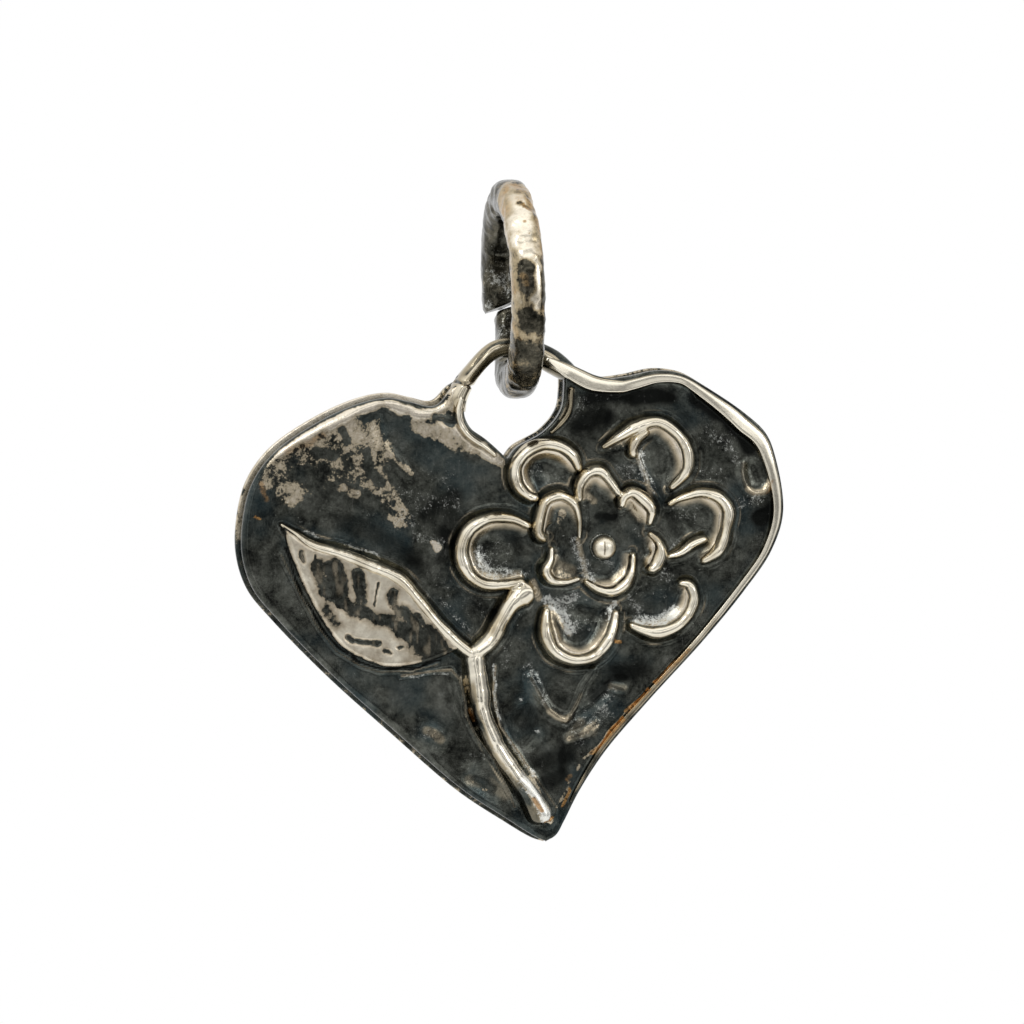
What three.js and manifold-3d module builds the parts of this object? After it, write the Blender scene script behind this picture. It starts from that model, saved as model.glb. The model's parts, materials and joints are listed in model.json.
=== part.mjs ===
// Heart pendant: an oxidised silver heart with a flower spray laid on its face, hung on an open jump ring.
// Millimetres, +Z up, the face looks along -Y. The origin is the top of the ring's inside, where a chain bears.
import * as THREE from "three";
import Module from "manifold-3d";

const wasm = await Module();
wasm.setup();

// Driving dimensions: the heart, made of two sheets
const HEART_WIDTH = 25.4; // across the lobes
const HEART_HEIGHT = 22.9; // from the crown of the bail arch, at its middle line, down to the tip
const FRONT_PLATE_THICKNESS = 0.95;
const BACK_PLATE_THICKNESS = 0.65;
const FRONT_SETBACK = 0.2; // how far the back sheet stands out past the front one on the left
const FRONT_EDGE_ROUND = 0.3;
const BACK_EDGE_ROUND = 0.2;

// Driving dimensions: the jump ring and the bail arch that hangs on it
const RING_OUTER_DIAMETER = 10;
const RING_WIRE_THICKNESS = 1.65; // along the ring's radius
const RING_WIRE_BREADTH = 1.5; // along the ring's axis
const RING_FLAT_SHARE = 0.55; // the flats of the squared wire, as a share of its size
const RING_HAMMER_DEPTH = 0.07; // how deep the hammer marks go into the outside
const RING_GAP = 0.4; // between the two cut ends
const RING_GAP_ANGLE = THREE.MathUtils.degToRad(-10); // from the back of the ring, below its middle
const RING_LEAN = THREE.MathUtils.degToRad(3); // the ring hangs a little off plumb
const ARCH_WIDTH = 0.85;
const ARCH_DEPTH = 1.05;

// Driving dimensions: the wires, the leaf and the bead soldered to the face
const RIM_WIDTH = 0.55;
const RIM_HEIGHT = 0.35;
const CLEFT_RIM_WIDTH = 0.32;
const CLEFT_RIM_HEIGHT = 0.25;
const STEM_WIDTH = 0.85;
const STEM_HEIGHT = 0.65;
const STALK_WIDTH = 0.7;
const STALK_HEIGHT = 0.6;
const FLOWER_RADIUS = 6; // from the bead to about the crests of the outer petals
const PETAL_WIDTH = 0.62;
const PETAL_HEIGHT = 0.55;
const INNER_PETAL_WIDTH = 0.52;
const INNER_PETAL_HEIGHT = 0.6;
const BEAD_DIAMETER = 1.1;
const BEAD_HEIGHT = 0.85; // the ball is filed flat where it sits
const LEAF_RIB_WIDTH = 0.58;
const LEAF_RIB_HEIGHT = 0.6;
const LEAF_BLADE_HEIGHT = 0.42;
const LEAF_BLADE_SLOPE = 0.2; // how far the blade's sides lean in
const GOUGE_WIDTH = 0.5;
const GOUGE_DEPTH = 0.22;

// Clearances between pieces
const HANG_CLEARANCE = 0.15; // between the arch and the ring that carries it
const SEAT_CLEARANCE = 0.1; // solder gap under each foot of the arch
const WIRE_CLEARANCE = 0.12; // solder gap between neighbouring wires
const EDGE_CLEARANCE = 0.06; // bare face left outside a rim wire

// Fineness of the surfaces
const OUTLINE_STEP = 0.8;
const WIRE_STEP = 0.45;
const TRIM_STEP = 0.04; // how finely a wire's ends are cut back to its neighbours
const ARCH_STEP = 0.4;
const DOME_SIDES = 6;
const ARCH_SIDES = 10;
const RING_STEPS = 40;
const BEAD_SIDES = 14;

// Levels through the heart's thickness, measured from its middle plane
const FACE = -(FRONT_PLATE_THICKNESS + BACK_PLATE_THICKNESS) / 2;
const SEAM = FACE + FRONT_PLATE_THICKNESS;
const BACK = SEAM + BACK_PLATE_THICKNESS;

const OXIDISED = new THREE.MeshStandardMaterial({ color: 0x2b3033, roughness: 0.4, metalness: 1 });
const WORN = new THREE.MeshStandardMaterial({ color: 0xbfb5a2, roughness: 0.3, metalness: 1 });
const HAMMERED = new THREE.MeshStandardMaterial({ color: 0xa8977c, roughness: 0.35, metalness: 1 });

// Places on the face are flat points, and their third number is a local share: of a wire's width, or of an
// edge's rounding. This one is given in shares of the heart's width from the hanging line, and of its height
// down from the arch's crown.
function onHeart(across, down, share = 1) {
  return new THREE.Vector3(across * HEART_WIDTH, -down * HEART_HEIGHT, share);
}

const FLOWER_CENTRE = onHeart(0.159, 0.4005);

// A place on the flower: shares of its radius to the right of the bead and above it.
function onFlower(right, up, share = 1) {
  return new THREE.Vector3(right, up, 0).multiplyScalar(FLOWER_RADIUS).add(FLOWER_CENTRE).setZ(share);
}

// The points of a smooth curve through some places, about one step apart.
function smooth(places, step) {
  const curve = new THREE.CatmullRomCurve3(places, false, "centripetal");
  return curve.getSpacedPoints(Math.max(3, Math.round(curve.getLength() / step)));
}

// The unit vector to the left of a path at one of its points.
function leftOf(path, i) {
  const before = path[Math.max(i - 1, 0)];
  const after = path[Math.min(i + 1, path.length - 1)];
  return new THREE.Vector3(before.y - after.y, after.x - before.x, 0).normalize();
}

// A place moved some distance along a direction on the face.
function moved(place, direction, distance) {
  return place.clone().addScaledVector(direction, distance);
}

function flatDistance(a, b) {
  return Math.hypot(a.x - b.x, a.y - b.y);
}

// A place on the face as a point in space, at some depth.
function atDepth(place, depth) {
  return new THREE.Vector3(place.x, depth, place.y);
}

// A closed surface through equal loops of points, with its two ends filled.
function loft(loops) {
  const size = loops[0].length;
  const points = loops.flat();
  const index = [];
  for (let here = 0; here < points.length - size; here++) {
    const next = (here + 1) % size === 0 ? here + 1 - size : here + 1;
    index.push(here, next, here + size, next, next + size, here + size);
  }
  const final = points.length - size;
  endTriangles(loops[0]).forEach(([a, b, c]) => index.push(a, c, b));
  endTriangles(loops.at(-1)).forEach(([a, b, c]) => index.push(final + a, final + b, final + c));
  const geometry = new THREE.BufferGeometry().setFromPoints(points);
  geometry.setIndex(signedVolume(points, index) < 0 ? index.reverse() : index);
  geometry.computeVertexNormals();
  return geometry;
}

// The triangles that fill one flat loop, turning the way the loop does.
function endTriangles(loop) {
  const normal = new THREE.Vector3();
  const fromFirst = loop.map((point) => point.clone().sub(loop[0]));
  fromFirst.slice(1).forEach((point, i) => normal.add(fromFirst[i].clone().cross(point)));
  const right = fromFirst[1].clone().normalize();
  const up = normal.normalize().cross(right);
  const flat = fromFirst.map((point) => new THREE.Vector2(point.dot(right), point.dot(up)));
  return THREE.ShapeUtils.triangulateShape(flat, []);
}

function signedVolume(points, index) {
  let volume = 0;
  for (let i = 0; i < index.length; i += 3) {
    const [a, b, c] = index.slice(i, i + 3).map((k) => points[k]);
    volume += a.dot(b.clone().cross(c)) / 6;
  }
  return volume;
}

// An anticlockwise outline moved inwards, each point by its own share of the distance.
function inset(outline, distance) {
  const sharpestMiter = 0.7;
  return outline.map((point, i) => {
    const arriving = leftOf([outline.at(i - 1), point], 0);
    const leaving = leftOf([point, outline[(i + 1) % outline.length]], 0);
    const inward = arriving.add(leaving).normalize();
    return moved(point, inward, (distance * point.z) / Math.max(sharpestMiter, inward.dot(leaving)));
  });
}

// A sheet with a terraced edge: each level is the outline taken in by some distance, at some depth.
function sheet(outline, levels) {
  return loft(levels.map(({ taken, depth }) => inset(outline, taken).map((place) => atDepth(place, depth))));
}

// A wire lying on the face: flat underneath, domed above, as wide at each point as its share says.
function domedWire(path, width, height) {
  const loops = path.map((point, i) =>
    Array.from({ length: DOME_SIDES + 1 }, (_, k) => {
      const turn = (Math.PI * k) / DOME_SIDES;
      const place = moved(point, leftOf(path, i), (Math.cos(turn) * width * point.z) / 2);
      return atDepth(place, FACE - Math.sin(turn) * height * Math.min(1, point.z));
    }),
  );
  return loft(loops);
}

// A rounded nose: the share of its width that a wire keeps at some distance from where it stops.
const NOSE_BLUNTNESS = 0.15;

function noseShare(distance, radius) {
  const fromFull = Math.max(0, 1 - NOSE_BLUNTNESS - distance / radius);
  return Math.sqrt(1 - fromFull ** 2);
}

function piece(name, geometry, material) {
  const mesh = new THREE.Mesh(geometry, material);
  mesh.name = name;
  return mesh;
}

function assembly(...members) {
  return new THREE.Group().add(...members);
}

// The face of the heart, which remembers each wire laid on it so that the next one stops short of it.
class Face {
  laid = [];

  // Keeps a round spot free of wires.
  reserve(centre, diameter) {
    this.laid.push({ path: [centre], width: diameter });
  }

  isClear(point, width) {
    const clearOf = (wire, other) =>
      flatDistance(point, other) > (width * point.z + wire.width * other.z) / 2 + WIRE_CLEARANCE;
    return this.laid.every((wire) => wire.path.every((other) => clearOf(wire, other)));
  }

  // Lays a wire through some places. Both ends are cut back until a round spot as wide as the wire is clear of
  // the wires already there, and the wire's nose then fills that spot.
  lay(name, places, width, height) {
    const fine = smooth(places, TRIM_STEP);
    const nose = (point) => Math.floor(((1 - NOSE_BLUNTNESS) * width * point.z) / 2 / TRIM_STEP);
    const firstClear = fine.findIndex((point) => this.isClear(point, width));
    const lastClear = fine.findLastIndex((point) => this.isClear(point, width));
    const first = Math.max(0, firstClear - nose(fine[firstClear]));
    const last = Math.min(fine.length - 1, lastClear + nose(fine[lastClear]));
    const steps = Math.max(3, Math.round(((last - first) * TRIM_STEP) / WIRE_STEP));
    const even = Array.from({ length: steps + 1 }, (_, i) => Math.round(first + ((last - first) * i) / steps));
    const noseTop = Math.max(1, Math.round((NOSE_BLUNTNESS * width) / TRIM_STEP));
    const stations = [first, first + noseTop, ...even.slice(1, -1), last - noseTop, last];
    const path = stations.map((station) => {
      const point = fine[station].clone();
      const fromEnd = Math.min(station - first, last - station) * TRIM_STEP;
      return point.setZ(point.z * noseShare(fromEnd, (width * point.z) / 2));
    });
    this.laid.push({ path: fine.slice(first, last + 1), width });
    return piece(name, domedWire(path, width, height), WORN);
  }
}

// The edge of the front sheet is broad on the left side, crisp on the right, and crisper still round the cleft.
const RIGHT_EDGE = 0.4;
const CLEFT_EDGE = 0.3;

// A foot of the bail arch: where it stands on a lobe, which way the arch leaves it, and its share of the width.
function archFoot(across, down, degrees, share) {
  const angle = THREE.MathUtils.degToRad(degrees);
  const out = new THREE.Vector3(Math.cos(angle), Math.sin(angle), 0);
  const left = new THREE.Vector3(-Math.sin(angle), Math.cos(angle), 0);
  const seat = onHeart(across, down, share);
  const half = (ARCH_WIDTH * share) / 2;
  return {
    start: moved(seat, out, SEAT_CLEARANCE),
    leaving: moved(seat, out, SEAT_CLEARANCE + half),
    leftCorner: moved(seat, left, half).setZ(CLEFT_EDGE),
    rightCorner: moved(seat, left, -half).setZ(CLEFT_EDGE),
  };
}

const LEFT_FOOT = archFoot(-0.0967, 0.0757, 50, 0.95);
const RIGHT_FOOT = archFoot(0.0876, 0.0454, 149, 1.28);

// The middle line of the arch, from foot to foot over the crown.
const ARCH_LINE = [
  LEFT_FOOT.start,
  LEFT_FOOT.leaving,
  onHeart(-0.04, 0.0095, 0.93),
  onHeart(0, 0),
  onHeart(0.028, 0.0085, 1.1),
  RIGHT_FOOT.leaving,
  RIGHT_FOOT.start,
];

// The heart's outline, anticlockwise as the face is seen: smooth runs between the corners.
const CLEFT = onHeart(-0.018, 0.221, CLEFT_EDGE);
const TIP = onHeart(0.062, 1, 0.6);
const LEFT_CLEFT_SIDE = [
  CLEFT,
  onHeart(-0.05, 0.189, CLEFT_EDGE),
  onHeart(-0.083, 0.162, CLEFT_EDGE),
  onHeart(-0.0945, 0.135, CLEFT_EDGE),
  onHeart(-0.091, 0.108, CLEFT_EDGE),
  LEFT_FOOT.rightCorner,
];
const LEFT_SIDE = [
  LEFT_FOOT.leftCorner,
  onHeart(-0.1223, 0.0817, 0.5),
  onHeart(-0.1515, 0.111),
  onHeart(-0.1916, 0.1039),
  onHeart(-0.2318, 0.0959),
  onHeart(-0.2883, 0.108),
  onHeart(-0.3668, 0.1483),
  onHeart(-0.4434, 0.2089),
  onHeart(-0.4836, 0.2735),
  onHeart(-0.5, 0.35),
  onHeart(-0.5, 0.42),
  onHeart(-0.48, 0.4874),
  onHeart(-0.4325, 0.552),
  onHeart(-0.334, 0.663),
  onHeart(-0.2226, 0.774),
  onHeart(-0.0967, 0.895),
  onHeart(-0.0146, 0.9556),
  onHeart(0.0401, 0.9919, 0.8),
  TIP,
];
const RIGHT_SIDE = [
  TIP,
  onHeart(0.0821, 0.9839, RIGHT_EDGE),
  onHeart(0.0967, 0.9556, RIGHT_EDGE),
  onHeart(0.1241, 0.895, RIGHT_EDGE),
  onHeart(0.1715, 0.8143, RIGHT_EDGE),
  onHeart(0.25, 0.7134, RIGHT_EDGE),
  onHeart(0.3504, 0.5923, RIGHT_EDGE),
  onHeart(0.4252, 0.4914, RIGHT_EDGE),
  onHeart(0.4745, 0.4107, RIGHT_EDGE),
  onHeart(0.496, 0.33, RIGHT_EDGE),
  onHeart(0.4781, 0.2129, RIGHT_EDGE),
  onHeart(0.4599, 0.1685, RIGHT_EDGE),
  onHeart(0.4197, 0.1282, RIGHT_EDGE),
  onHeart(0.3467, 0.0757, RIGHT_EDGE),
  onHeart(0.3011, 0.0494, RIGHT_EDGE),
  onHeart(0.2536, 0.0434, RIGHT_EDGE),
  onHeart(0.1989, 0.0555, RIGHT_EDGE),
  onHeart(0.158, 0.0612, RIGHT_EDGE),
  onHeart(0.1387, 0.0575, RIGHT_EDGE),
  RIGHT_FOOT.rightCorner,
];
const RIGHT_CLEFT_SIDE = [
  RIGHT_FOOT.leftCorner,
  onHeart(0.082, 0.0837, CLEFT_EDGE),
  onHeart(0.0766, 0.1261, CLEFT_EDGE),
  onHeart(0.0474, 0.1673, CLEFT_EDGE),
  onHeart(-0.0036, 0.2008, CLEFT_EDGE),
  CLEFT,
];
const OUTLINE = [
  ...smooth(LEFT_CLEFT_SIDE, OUTLINE_STEP),
  ...smooth(LEFT_SIDE, OUTLINE_STEP).slice(0, -1),
  ...smooth(RIGHT_SIDE, OUTLINE_STEP),
  ...smooth(RIGHT_CLEFT_SIDE, OUTLINE_STEP).slice(0, -1),
];

function backPlate() {
  const levels = [
    { taken: BACK_EDGE_ROUND, depth: BACK },
    { taken: 0, depth: BACK - BACK_EDGE_ROUND },
    { taken: 0, depth: SEAM },
  ];
  return piece("back_plate", sheet(OUTLINE, levels), OXIDISED);
}

function frontPlate() {
  const slope = FRONT_EDGE_ROUND * (1 - Math.SQRT1_2);
  const levels = [
    { taken: FRONT_SETBACK, depth: SEAM },
    { taken: FRONT_SETBACK, depth: FACE + FRONT_EDGE_ROUND },
    { taken: FRONT_SETBACK + slope, depth: FACE + slope },
    { taken: FRONT_SETBACK + FRONT_EDGE_ROUND, depth: FACE },
  ];
  return piece("front_plate", sheet(OUTLINE, levels), OXIDISED);
}

// The arch over the cleft: an oval rod from lobe to lobe, thickest where it runs into the right one.
function bailArch() {
  const path = smooth(ARCH_LINE, ARCH_STEP);
  const loops = path.map((point, i) =>
    Array.from({ length: ARCH_SIDES }, (_, k) => {
      const turn = (2 * Math.PI * k) / ARCH_SIDES;
      const place = moved(point, leftOf(path, i), (Math.cos(turn) * ARCH_WIDTH * point.z) / 2);
      return atDepth(place, (Math.sin(turn) * ARCH_DEPTH) / 2);
    }),
  );
  return piece("bail_arch", loft(loops), WORN);
}

const RING_INNER_RADIUS = RING_OUTER_DIAMETER / 2 - RING_WIRE_THICKNESS;

function hammerMark(angle) {
  return RING_HAMMER_DEPTH * (0.5 + 0.3 * Math.cos(9 * angle) + 0.2 * Math.cos(14 * angle + 1));
}

// The ring hangs down from its own origin: a squared wire bent round, hammered outside and cut at the back.
function jumpRing() {
  const half = RING_WIRE_THICKNESS / 2;
  const near = RING_FLAT_SHARE;
  const section = [
    [1, near],
    [near, 1],
    [-near, 1],
    [-1, near],
    [-1, -near],
    [-near, -1],
    [near, -1],
    [1, -near],
  ];
  const gap = RING_GAP / (RING_INNER_RADIUS + half);
  const loops = Array.from({ length: RING_STEPS + 1 }, (_, i) => {
    const angle = RING_GAP_ANGLE + gap / 2 + ((2 * Math.PI - gap) * i) / RING_STEPS;
    const dent = hammerMark(angle);
    return section.map(([outward, sideways]) => {
      const radius = RING_INNER_RADIUS + half + outward * half - dent * Math.max(0, outward);
      const across = sideways * (RING_WIRE_BREADTH / 2 - dent / 2);
      return new THREE.Vector3(across, radius * Math.cos(angle), radius * Math.sin(angle) - RING_INNER_RADIUS);
    });
  });
  return piece("jump_ring", loft(loops), HAMMERED);
}

// A rim wire's path: beside one run of the outline, on the flat of the face, between two shares of its length.
function besideEdge(run, from, to, width, shares) {
  const edge = smooth(run, OUTLINE_STEP / 2);
  const first = Math.round(from * (edge.length - 1));
  const count = Math.round((to - from) * (edge.length - 1));
  return Array.from({ length: count + 1 }, (_, i) => {
    const point = edge[first + i];
    const stretch = (i / count) * (shares.length - 1);
    const low = Math.min(Math.floor(stretch), shares.length - 2);
    const share = THREE.MathUtils.lerp(shares[low], shares[low + 1], stretch - low);
    const bare = (FRONT_SETBACK + FRONT_EDGE_ROUND) * point.z + EDGE_CLEARANCE;
    return moved(point, leftOf(edge, first + i), bare + (width * share) / 2).setZ(share);
  });
}

// The rib runs from the fork of the stem along the upper edge of the leaf to its tip.
const LEAF_RIB = [
  onHeart(-0.079, 0.612, 0.9),
  onHeart(-0.1, 0.596),
  onHeart(-0.135, 0.56),
  onHeart(-0.175, 0.508),
  onHeart(-0.212, 0.464),
  onHeart(-0.265, 0.436),
  onHeart(-0.322, 0.412, 0.9),
  onHeart(-0.372, 0.395, 0.8),
  onHeart(-0.4, 0.373, 0.5),
  onHeart(-0.4265, 0.353, 0.2),
];
const LEAF_LOWER_EDGE = [
  onHeart(-0.4145, 0.3985, 0.5),
  onHeart(-0.38, 0.487),
  onHeart(-0.352, 0.544),
  onHeart(-0.316, 0.596),
  onHeart(-0.277, 0.623),
  onHeart(-0.2427, 0.637),
  onHeart(-0.19, 0.636),
  onHeart(-0.15, 0.622, 0.5),
];
const LEAF_GOUGES = [
  [onHeart(-0.352, 0.467, 0.2), onHeart(-0.32, 0.527), onHeart(-0.25, 0.564), onHeart(-0.17, 0.612, 0.2)],
  [onHeart(-0.39, 0.415, 0.2), onHeart(-0.385, 0.43, 0.6), onHeart(-0.38, 0.445, 0.2)],
  [onHeart(-0.345, 0.435, 0.3), onHeart(-0.335, 0.465, 1.4), onHeart(-0.315, 0.5, 0.4)],
  [onHeart(-0.296, 0.457, 0.3), onHeart(-0.288, 0.485), onHeart(-0.275, 0.525, 0.3)],
  [onHeart(-0.228, 0.495, 0.3), onHeart(-0.222, 0.517), onHeart(-0.208, 0.545, 0.3)],
  [onHeart(-0.306, 0.577, 0.2), onHeart(-0.275, 0.59, 0.5), onHeart(-0.24, 0.594, 0.2)],
];

// A solid for cutting, from a closed geometry with shared corners.
function solid(geometry) {
  return new wasm.Manifold(
    new wasm.Mesh({
      numProp: 3,
      vertProperties: new Float32Array(geometry.getAttribute("position").array),
      triVerts: new Uint32Array(geometry.getIndex().array),
    }),
  );
}

function geometryOf(manifold) {
  const mesh = manifold.getMesh();
  const geometry = new THREE.BufferGeometry();
  geometry.setAttribute("position", new THREE.BufferAttribute(mesh.vertProperties, 3));
  geometry.setIndex(new THREE.BufferAttribute(mesh.triVerts, 1));
  geometry.computeVertexNormals();
  return geometry;
}

// A graver's cut into the top of the blade, rounded below and open above.
function gouge(places) {
  const profile = [
    [1, -1],
    [1, 0],
    [0.6, 0.7],
    [0, 1],
    [-0.6, 0.7],
    [-1, 0],
    [-1, -1],
  ];
  const path = smooth(places, WIRE_STEP);
  const loops = path.map((point, i) =>
    profile.map(([side, deep]) => {
      const depth = deep * GOUGE_DEPTH * (deep > 0 ? Math.min(1, point.z) : 1);
      const place = moved(point, leftOf(path, i), (side * GOUGE_WIDTH * point.z) / 2);
      return atDepth(place, FACE - LEAF_BLADE_HEIGHT + depth);
    }),
  );
  return solid(loft(loops));
}

// The blade hangs from the rib: its upper edge keeps clear of the rib, and its veins are cut into its top.
function leafBlade() {
  const rib = smooth(LEAF_RIB, OUTLINE_STEP);
  const upper = rib
    .map((point, i) => moved(point, leftOf(rib, i), (LEAF_RIB_WIDTH * point.z) / 2 + WIRE_CLEARANCE))
    .slice(3, -2);
  const lower = smooth([upper.at(-1), ...LEAF_LOWER_EDGE, upper[0]], OUTLINE_STEP);
  const levels = [
    { taken: 0, depth: FACE },
    { taken: LEAF_BLADE_SLOPE, depth: FACE - LEAF_BLADE_HEIGHT },
  ];
  const whole = solid(sheet([...upper, ...lower.slice(1, -1)], levels));
  const carved = LEAF_GOUGES.reduce((blade, places) => blade.subtract(gouge(places)), whole);
  return piece("leaf_blade", geometryOf(carved), WORN);
}

// The stem rises from the tip of the heart and forks into the leaf's rib and the flower's stalk.
function spray(face) {
  const stalk = [
    onHeart(-0.0735, 0.612, 0.9),
    onHeart(-0.044, 0.583),
    onHeart(-0.026, 0.546),
    onHeart(-0.007, 0.512, 1.1),
    onHeart(0.014, 0.494, 1.6),
    onHeart(0.032, 0.488, 1.9),
  ];
  const stem = [
    onHeart(-0.073, 0.62, 0.9),
    onHeart(-0.066, 0.68, 1),
    onHeart(-0.059, 0.73, 0.9),
    onHeart(-0.046, 0.768, 0.9),
    onHeart(-0.026, 0.81, 0.85),
    onHeart(0.003, 0.858, 0.85),
    onHeart(0.026, 0.893, 0.85),
    onHeart(0.0585, 0.955, 1.1),
  ];
  return assembly(
    face.lay("leaf_rib", LEAF_RIB, LEAF_RIB_WIDTH, LEAF_RIB_HEIGHT),
    leafBlade(),
    face.lay("flower_stalk", stalk, STALK_WIDTH, STALK_HEIGHT),
    face.lay("stem", stem, STEM_WIDTH, STEM_HEIGHT),
  );
}

const INNER_PETALS = {
  upper_left: [
    onFlower(-0.512, 0.071, 1),
    onFlower(-0.497, 0.233, 1),
    onFlower(-0.452, 0.355, 1),
    onFlower(-0.349, 0.396, 1),
    onFlower(-0.246, 0.345, 0.9),
    onFlower(-0.194, 0.233, 0.6),
    onFlower(-0.184, 0.06, 0.3),
  ],
  top: [
    onFlower(-0.179, 0.381, 0.8),
    onFlower(-0.194, 0.484, 0.9),
    onFlower(-0.127, 0.566, 1),
    onFlower(-0.039, 0.58, 1.1),
    onFlower(0.03, 0.515, 0.8),
    onFlower(0.094, 0.411, 0.5),
  ],
  upper_right: [
    onFlower(0.131, 0.293, 0.6),
    onFlower(0.15, 0.385, 0.9),
    onFlower(0.212, 0.42, 1.1),
    onFlower(0.301, 0.366, 1.3),
    onFlower(0.36, 0.293, 1.1),
    onFlower(0.345, 0.204, 0.7),
  ],
  right: [
    onFlower(0.345, 0.116, 0.4),
    onFlower(0.419, 0.041, 0.8),
    onFlower(0.44, -0.046, 1),
    onFlower(0.405, -0.136, 1),
    onFlower(0.331, -0.188, 0.7),
  ],
  bottom: [
    onFlower(0.227, -0.032, 0.6),
    onFlower(0.219, -0.151, 0.8),
    onFlower(0.183, -0.26, 1.1),
    onFlower(0.08, -0.335, 1.1),
    onFlower(-0.024, -0.328, 0.8),
    onFlower(-0.113, -0.269, 0.4),
  ],
  lower_left: [
    onFlower(-0.402, 0.012, 0.5),
    onFlower(-0.409, -0.092, 0.7),
    onFlower(-0.446, -0.18, 1),
    onFlower(-0.4, -0.25, 0.9),
    onFlower(-0.29, -0.269, 0.6),
    onFlower(-0.172, -0.239, 0.4),
  ],
};

const OUTER_PETALS = {
  left: [
    onFlower(-0.6, 0.175, 0.5),
    onFlower(-0.72, 0.22, 0.8),
    onFlower(-0.896, 0.219, 0.9),
    onFlower(-1.043, 0.13, 1.1),
    onFlower(-1.095, -0.032, 1.2),
    onFlower(-1.043, -0.195, 1.1),
    onFlower(-0.927, -0.278, 1),
    onFlower(-0.763, -0.283, 0.9),
    onFlower(-0.6, -0.254, 0.8),
  ],
  upper_left: [
    onFlower(-0.187, 0.573, 0.6),
    onFlower(-0.246, 0.691, 0.9),
    onFlower(-0.349, 0.765, 1),
    onFlower(-0.482, 0.78, 1),
    onFlower(-0.615, 0.72, 1),
    onFlower(-0.689, 0.602, 1),
    onFlower(-0.666, 0.469, 1),
    onFlower(-0.534, 0.374, 0.5),
  ],
  upper_right: [
    onFlower(-0.024, 0.757, 0.3),
    onFlower(0.124, 0.854, 0.8),
    onFlower(0.242, 0.92, 1),
    onFlower(0.405, 0.958, 0.9),
    onFlower(0.537, 0.883, 0.9),
    onFlower(0.633, 0.751, 1),
    onFlower(0.641, 0.602, 1),
    onFlower(0.507, 0.44, 0.4),
  ],
  right: [
    onFlower(0.493, 0.322, 0.3),
    onFlower(0.61, 0.381, 0.6),
    onFlower(0.759, 0.418, 0.8),
    onFlower(0.892, 0.381, 1),
    onFlower(0.965, 0.278, 1.1),
    onFlower(0.95, 0.144, 1),
    onFlower(0.892, -0.018, 1),
    onFlower(0.759, -0.121, 0.5),
  ],
  lower_right: [
    onFlower(0.581, -0.276, 0.4),
    onFlower(0.668, -0.29, 0.8),
    onFlower(0.707, -0.386, 1),
    onFlower(0.67, -0.505, 1),
    onFlower(0.552, -0.616, 1),
    onFlower(0.405, -0.653, 1),
    onFlower(0.242, -0.608, 0.5),
  ],
  lower: [
    onFlower(-0.445, -0.52, 0.9),
    onFlower(-0.438, -0.653, 1.2),
    onFlower(-0.378, -0.786, 1.1),
    onFlower(-0.232, -0.86, 1),
    onFlower(-0.069, -0.83, 1),
    onFlower(0.049, -0.697, 1),
    onFlower(0.108, -0.476, 0.6),
  ],
};

// Two short wires curl inside the petals that they spring from.
const PETAL_CURLS = {
  petal_spur: [
    onFlower(0.345, 0.9, 0.7),
    onFlower(0.242, 0.824, 0.9),
    onFlower(0.212, 0.736, 0.7),
    onFlower(0.227, 0.68, 0.4),
  ],
  petal_tail: [
    onFlower(0.493, -0.077, 0.3),
    onFlower(0.596, -0.046, 0.6),
    onFlower(0.7, 0.026, 0.7),
    onFlower(0.819, 0.071, 0.6),
  ],
};

// A ball filed flat underneath, turned so that its axis stands on the face.
function flowerBead() {
  const radius = BEAD_DIAMETER / 2;
  const toFlat = Math.acos(Math.max(-1, 1 - BEAD_HEIGHT / radius));
  const steps = BEAD_SIDES / 2;
  const profile = Array.from({ length: steps + 1 }, (_, i) => {
    const turn = toFlat * (1 - i / steps);
    return new THREE.Vector2(radius * Math.sin(turn), BEAD_HEIGHT - radius * (1 - Math.cos(turn)));
  });
  const ball = new THREE.LatheGeometry([new THREE.Vector2(0, 0), ...profile], BEAD_SIDES);
  const bead = piece("flower_bead", ball, WORN);
  bead.rotation.x = Math.PI;
  bead.position.copy(atDepth(FLOWER_CENTRE, FACE));
  return bead;
}

function flower(face) {
  const bead = flowerBead();
  face.reserve(FLOWER_CENTRE, BEAD_DIAMETER);
  const inner = Object.entries(INNER_PETALS).map(([side, places]) =>
    face.lay(`inner_petal_${side}`, places, INNER_PETAL_WIDTH, INNER_PETAL_HEIGHT),
  );
  const outer = Object.entries(OUTER_PETALS).map(([side, places]) =>
    face.lay(`petal_${side}`, places, PETAL_WIDTH, PETAL_HEIGHT),
  );
  const curls = Object.entries(PETAL_CURLS).map(([name, places]) =>
    face.lay(name, places, PETAL_WIDTH, PETAL_HEIGHT),
  );
  return assembly(bead, ...inner, ...outer, ...curls);
}

function rims(face) {
  const right = besideEdge(RIGHT_SIDE, 0.07, 0.98, RIM_WIDTH, [0.5, 0.4, 0.4, 0.45, 0.6, 1, 0.8, 1]);
  const cleftLeft = besideEdge(LEFT_CLEFT_SIDE, 0.1, 0.9, CLEFT_RIM_WIDTH, [0.7, 1, 1, 0.8]);
  const cleftRight = besideEdge(RIGHT_CLEFT_SIDE, 0.1, 0.55, CLEFT_RIM_WIDTH, [0.8, 1, 0.5]);
  return assembly(
    face.lay("rim_right", right, RIM_WIDTH, RIM_HEIGHT),
    face.lay("cleft_rim_left", cleftLeft, CLEFT_RIM_WIDTH, CLEFT_RIM_HEIGHT),
    face.lay("cleft_rim_right", cleftRight, CLEFT_RIM_WIDTH, CLEFT_RIM_HEIGHT),
  );
}

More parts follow.
